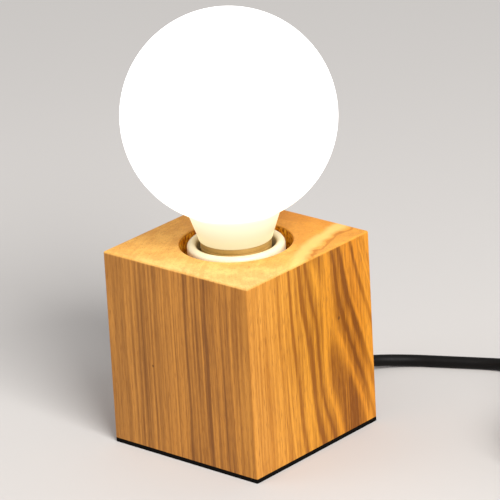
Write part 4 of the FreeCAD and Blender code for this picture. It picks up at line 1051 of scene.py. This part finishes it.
FINISHES = {
    # closed-cell foam, die-cut: dead matt with a fine open skin
    "foam_pad": finish(
        "black_foam", "#050403", "#0B0908", (0.85, 0.95), 0.35, 0.05, specular=0.08
    ),
    "oiled_wood": oiled_hardwood(),
    # zinc-plated steel: bluish, bright, with a faint rolled grain
    "zinc_steel": finish(
        "zinc_plated_steel", "#A9ADB0", "#D3D6D8", (0.25, 0.4), 0.2, 0.004, metallic=1.0
    ),
    # urea moulding, polished in the tool: cream, smooth, softly glossy
    "cream_plastic": finish("cream_urea", "#E6D8B2", "#EFE3C2", (0.3, 0.38), 0.5, 0.006),
    # glazed steatite: white with a glassy surface
    "white_ceramic": finish(
        "glazed_steatite", "#E4E1D8", "#F3F1EA", (0.15, 0.25), 0.8, 0.01, coat=0.4
    ),
    # nickel-plated brass strip, rolled round: warm grey, drawn out round the thread
    "nickel_shell": finish(
        "nickel_plated_brass", "#B9B2A4", "#DAD5CA", (0.2, 0.34), 0.25, 0.004, (3, 3, 1), 1.0
    ),
    "nickel_cap": finish(
        "nickel_plated_cap", "#BDBBB6", "#E2E1DD", (0.16, 0.3), 0.25, 0.004, (3, 3, 1), 1.0
    ),
    # pressed brass strip: yellow, slightly dulled
    "brass_parts": finish(
        "pressed_brass", "#B08A3C", "#D9B768", (0.28, 0.42), 0.2, 0.004, metallic=1.0
    ),
    "opal_glass": lit_opal_glass(),
    # glass-filled PBT, cream, painted tan with the shade it lies in under the lampholder's rim;
    # moulded with a fine spark texture
    "collar_plastic": finish("collar_pbt_painted_shade", "#A5803F", "#BD9652", (0.42, 0.52), 0.25, 0.01),
    # black vitrite, poured glass: very dark and glassy
    "black_glass": finish("black_vitrite", "#08080A", "#16161A", (0.08, 0.2), 0.9, 0.01, coat=0.3),
    # spun aluminium: pale grey with fine turning marks
    "spreader_metal": finish(
        "spun_aluminium", "#B8BBBE", "#DDDFE1", (0.3, 0.42), 0.2, 0.005, (4, 4, 1), 1.0
    ),
    # silicone lead: red, satin
    "red_lead": finish("red_silicone", "#8E1512", "#B3231E", (0.4, 0.5), 0.3, 0.006),
    # aluminium circuit board under white solder resist
    "white_board": finish("white_solder_resist", "#E6E6E2", "#F6F6F3", (0.3, 0.4), 0.4, 0.006),
    # phosphor in silicone over the chips: yellow
    "led_phosphor": finish("phosphor_silicone", "#E0B52E", "#F4D35A", (0.35, 0.5), 0.3, 0.01),
    # glass-epoxy board under green solder resist
    "green_board": finish("green_glass_epoxy", "#1E5A2C", "#2F7A40", (0.3, 0.42), 0.4, 0.01),
    # shrunk PVC sleeve of an electrolytic capacitor
    "capacitor_sleeve": finish("pvc_shrink_sleeve", "#15182C", "#232848", (0.3, 0.4), 0.6, 0.006),
    # extruded PVC sheath: black, satin, drawn smooth along its length
    "black_cord": finish(
        "pvc_cord_sheath", "#050404", "#0B0908", (0.45, 0.58), 0.6, 0.02, specular=0.15
    ),
    # PVC core insulation
    "brown_core": finish("brown_pvc_core", "#4E2C17", "#6B3F22", (0.35, 0.45), 0.3, 0.006),
    "blue_core": finish("blue_pvc_core", "#1D4E96", "#2F66B4", (0.35, 0.45), 0.3, 0.006),
    # nylon tie: milky, waxy
    "nylon_tie": finish("natural_nylon", "#D8D3C4", "#E9E5D8", (0.38, 0.48), 0.5, 0.008),
    # soft PVC moulding of the cord's sleeve: black, dull
    "black_rubber": finish("soft_pvc_sleeve", "#0C0B0A", "#191816", (0.55, 0.68), 0.3, 0.015),
    # switch case, moulded with a spark-eroded texture
    "black_plastic": finish("textured_abs", "#0F0F10", "#1C1C1D", (0.45, 0.58), 0.25, 0.02),
    # rocker, polished in the tool
    "rocker_plastic": finish(
        "polished_polycarbonate", "#0A0A0B", "#141416", (0.15, 0.25), 0.8, 0.006
    ),
    # woven hook-and-loop strap: dull, furry
    "tie_plastic": finish(
        "woven_strap", "#101011", "#26262A", (0.8, 0.95), 0.3, 0.08, sheen=0.4
    ),
    # plug moulded on the cord
    "plug_rubber": finish("moulded_pvc_plug", "#0B0B0B", "#191918", (0.42, 0.55), 0.3, 0.015),
    # nickel-plated brass blades, lightly scratched along their length
    "plated_blades": finish(
        "plated_blades", "#A9A59A", "#D5D2C8", (0.18, 0.32), 0.2, 0.005, (1, 8, 1), 1.0
    ),
}


def paint_everything():
    """Give each CAD node, and each new piece, the finish of its slot in the record."""
    for entry in frame["record"]["subparts"]:
        mesh = nodes[entry["node"]].data
        mesh.materials.clear()
        mesh.materials.append(FINISHES[entry["material_slot"]])
    for item in bpy.context.scene.objects:
        data = item.data
        if item.type in ("MESH", "CURVE") and len(data.materials) == 1 and not data.materials[0]:
            data.materials[0] = FINISHES[item["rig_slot"]]


paint_everything()

# ---------------------------------------------------------------- stage and light


def soft_light(name, power, size, place):
    """A square lamp, size across, in metres, that faces the middle of the block."""
    data = bpy.data.lights.new(name, "AREA")
    data.energy = power
    data.size = size
    lamp = bpy.data.objects.new(name, data)
    lamp.location = place
    aim = TARGET - Vector(place)
    lamp.rotation_euler = aim.to_track_quat("-Z", "Y").to_euler()
    bpy.context.scene.collection.objects.link(lamp)
    return data


BACKDROP = "#CBC8C5"
ROOM_LIGHT = (0.42, 0.42, 0.43, 1)


def seen_rays(tree):
    """1 for the rays that the camera sends, and for those that gloss and glass send on."""
    path = add(tree, "LightPath")
    first = {0: (path, "Is Camera Ray"), 1: (path, "Is Glossy Ray")}
    both = add(tree, "Math", first, **MAXIMUM)
    return add(tree, "Math", {0: both, 1: (path, "Is Transmission Ray")}, **MAXIMUM)


def make_stage():
    """A pale matt floor that runs into a backdrop of one even colour, and a plain room."""
    side = 3.0
    mesh = bpy.data.meshes.new("floor")
    corners = [(-side, -side, 0), (side, -side, 0), (side, side, 0), (-side, side, 0)]
    mesh.from_pydata(corners, [], [(0, 1, 2, 3)])
    floor = bpy.data.objects.new("floor", mesh)
    bpy.context.scene.collection.objects.link(floor)
    # matt pale paint near the lamp, and the backdrop's own colour farther off
    material, tree, shader = new_material("pale_floor")
    set_inputs(tree, shader, {"Base Color": "#C9C5C1", "Roughness": 0.85})
    place = add(tree, "TexCoord")
    away = add(tree, "VectorMath", {0: (place, "Object")}, operation="LENGTH")
    far = add(tree, "MapRange", {0: (away, 1), 1: 0.3, 2: 1.1}, **SMOOTH)
    share = add(tree, "Math", {0: far, 1: seen_rays(tree)}, **MULTIPLY)
    even = add(tree, "Emission", {"Color": BACKDROP})
    mixed = add(tree, "MixShader", {0: share, 1: shader, 2: even})
    set_inputs(tree, tree.nodes["Material Output"], {"Surface": mixed})
    mesh.materials.append(material)

    world = bpy.data.worlds.new("room")
    world.use_nodes = True
    tree = world.node_tree
    sky = add(tree, "Mix", {0: seen_rays(tree), 6: ROOM_LIGHT, 7: BACKDROP}, **COLOURS)
    set_inputs(tree, tree.nodes["Background"], {"Color": (sky, 2), "Strength": 1.0})
    bpy.context.scene.world = world
    bpy.context.scene.view_settings.view_transform = "Standard"


make_stage()
soft_light("key", 106, 1.4, (1.96, -0.84, 1.955))
soft_light("fill", 5.8, 1.0, (-1.0, -1.1, 0.9))
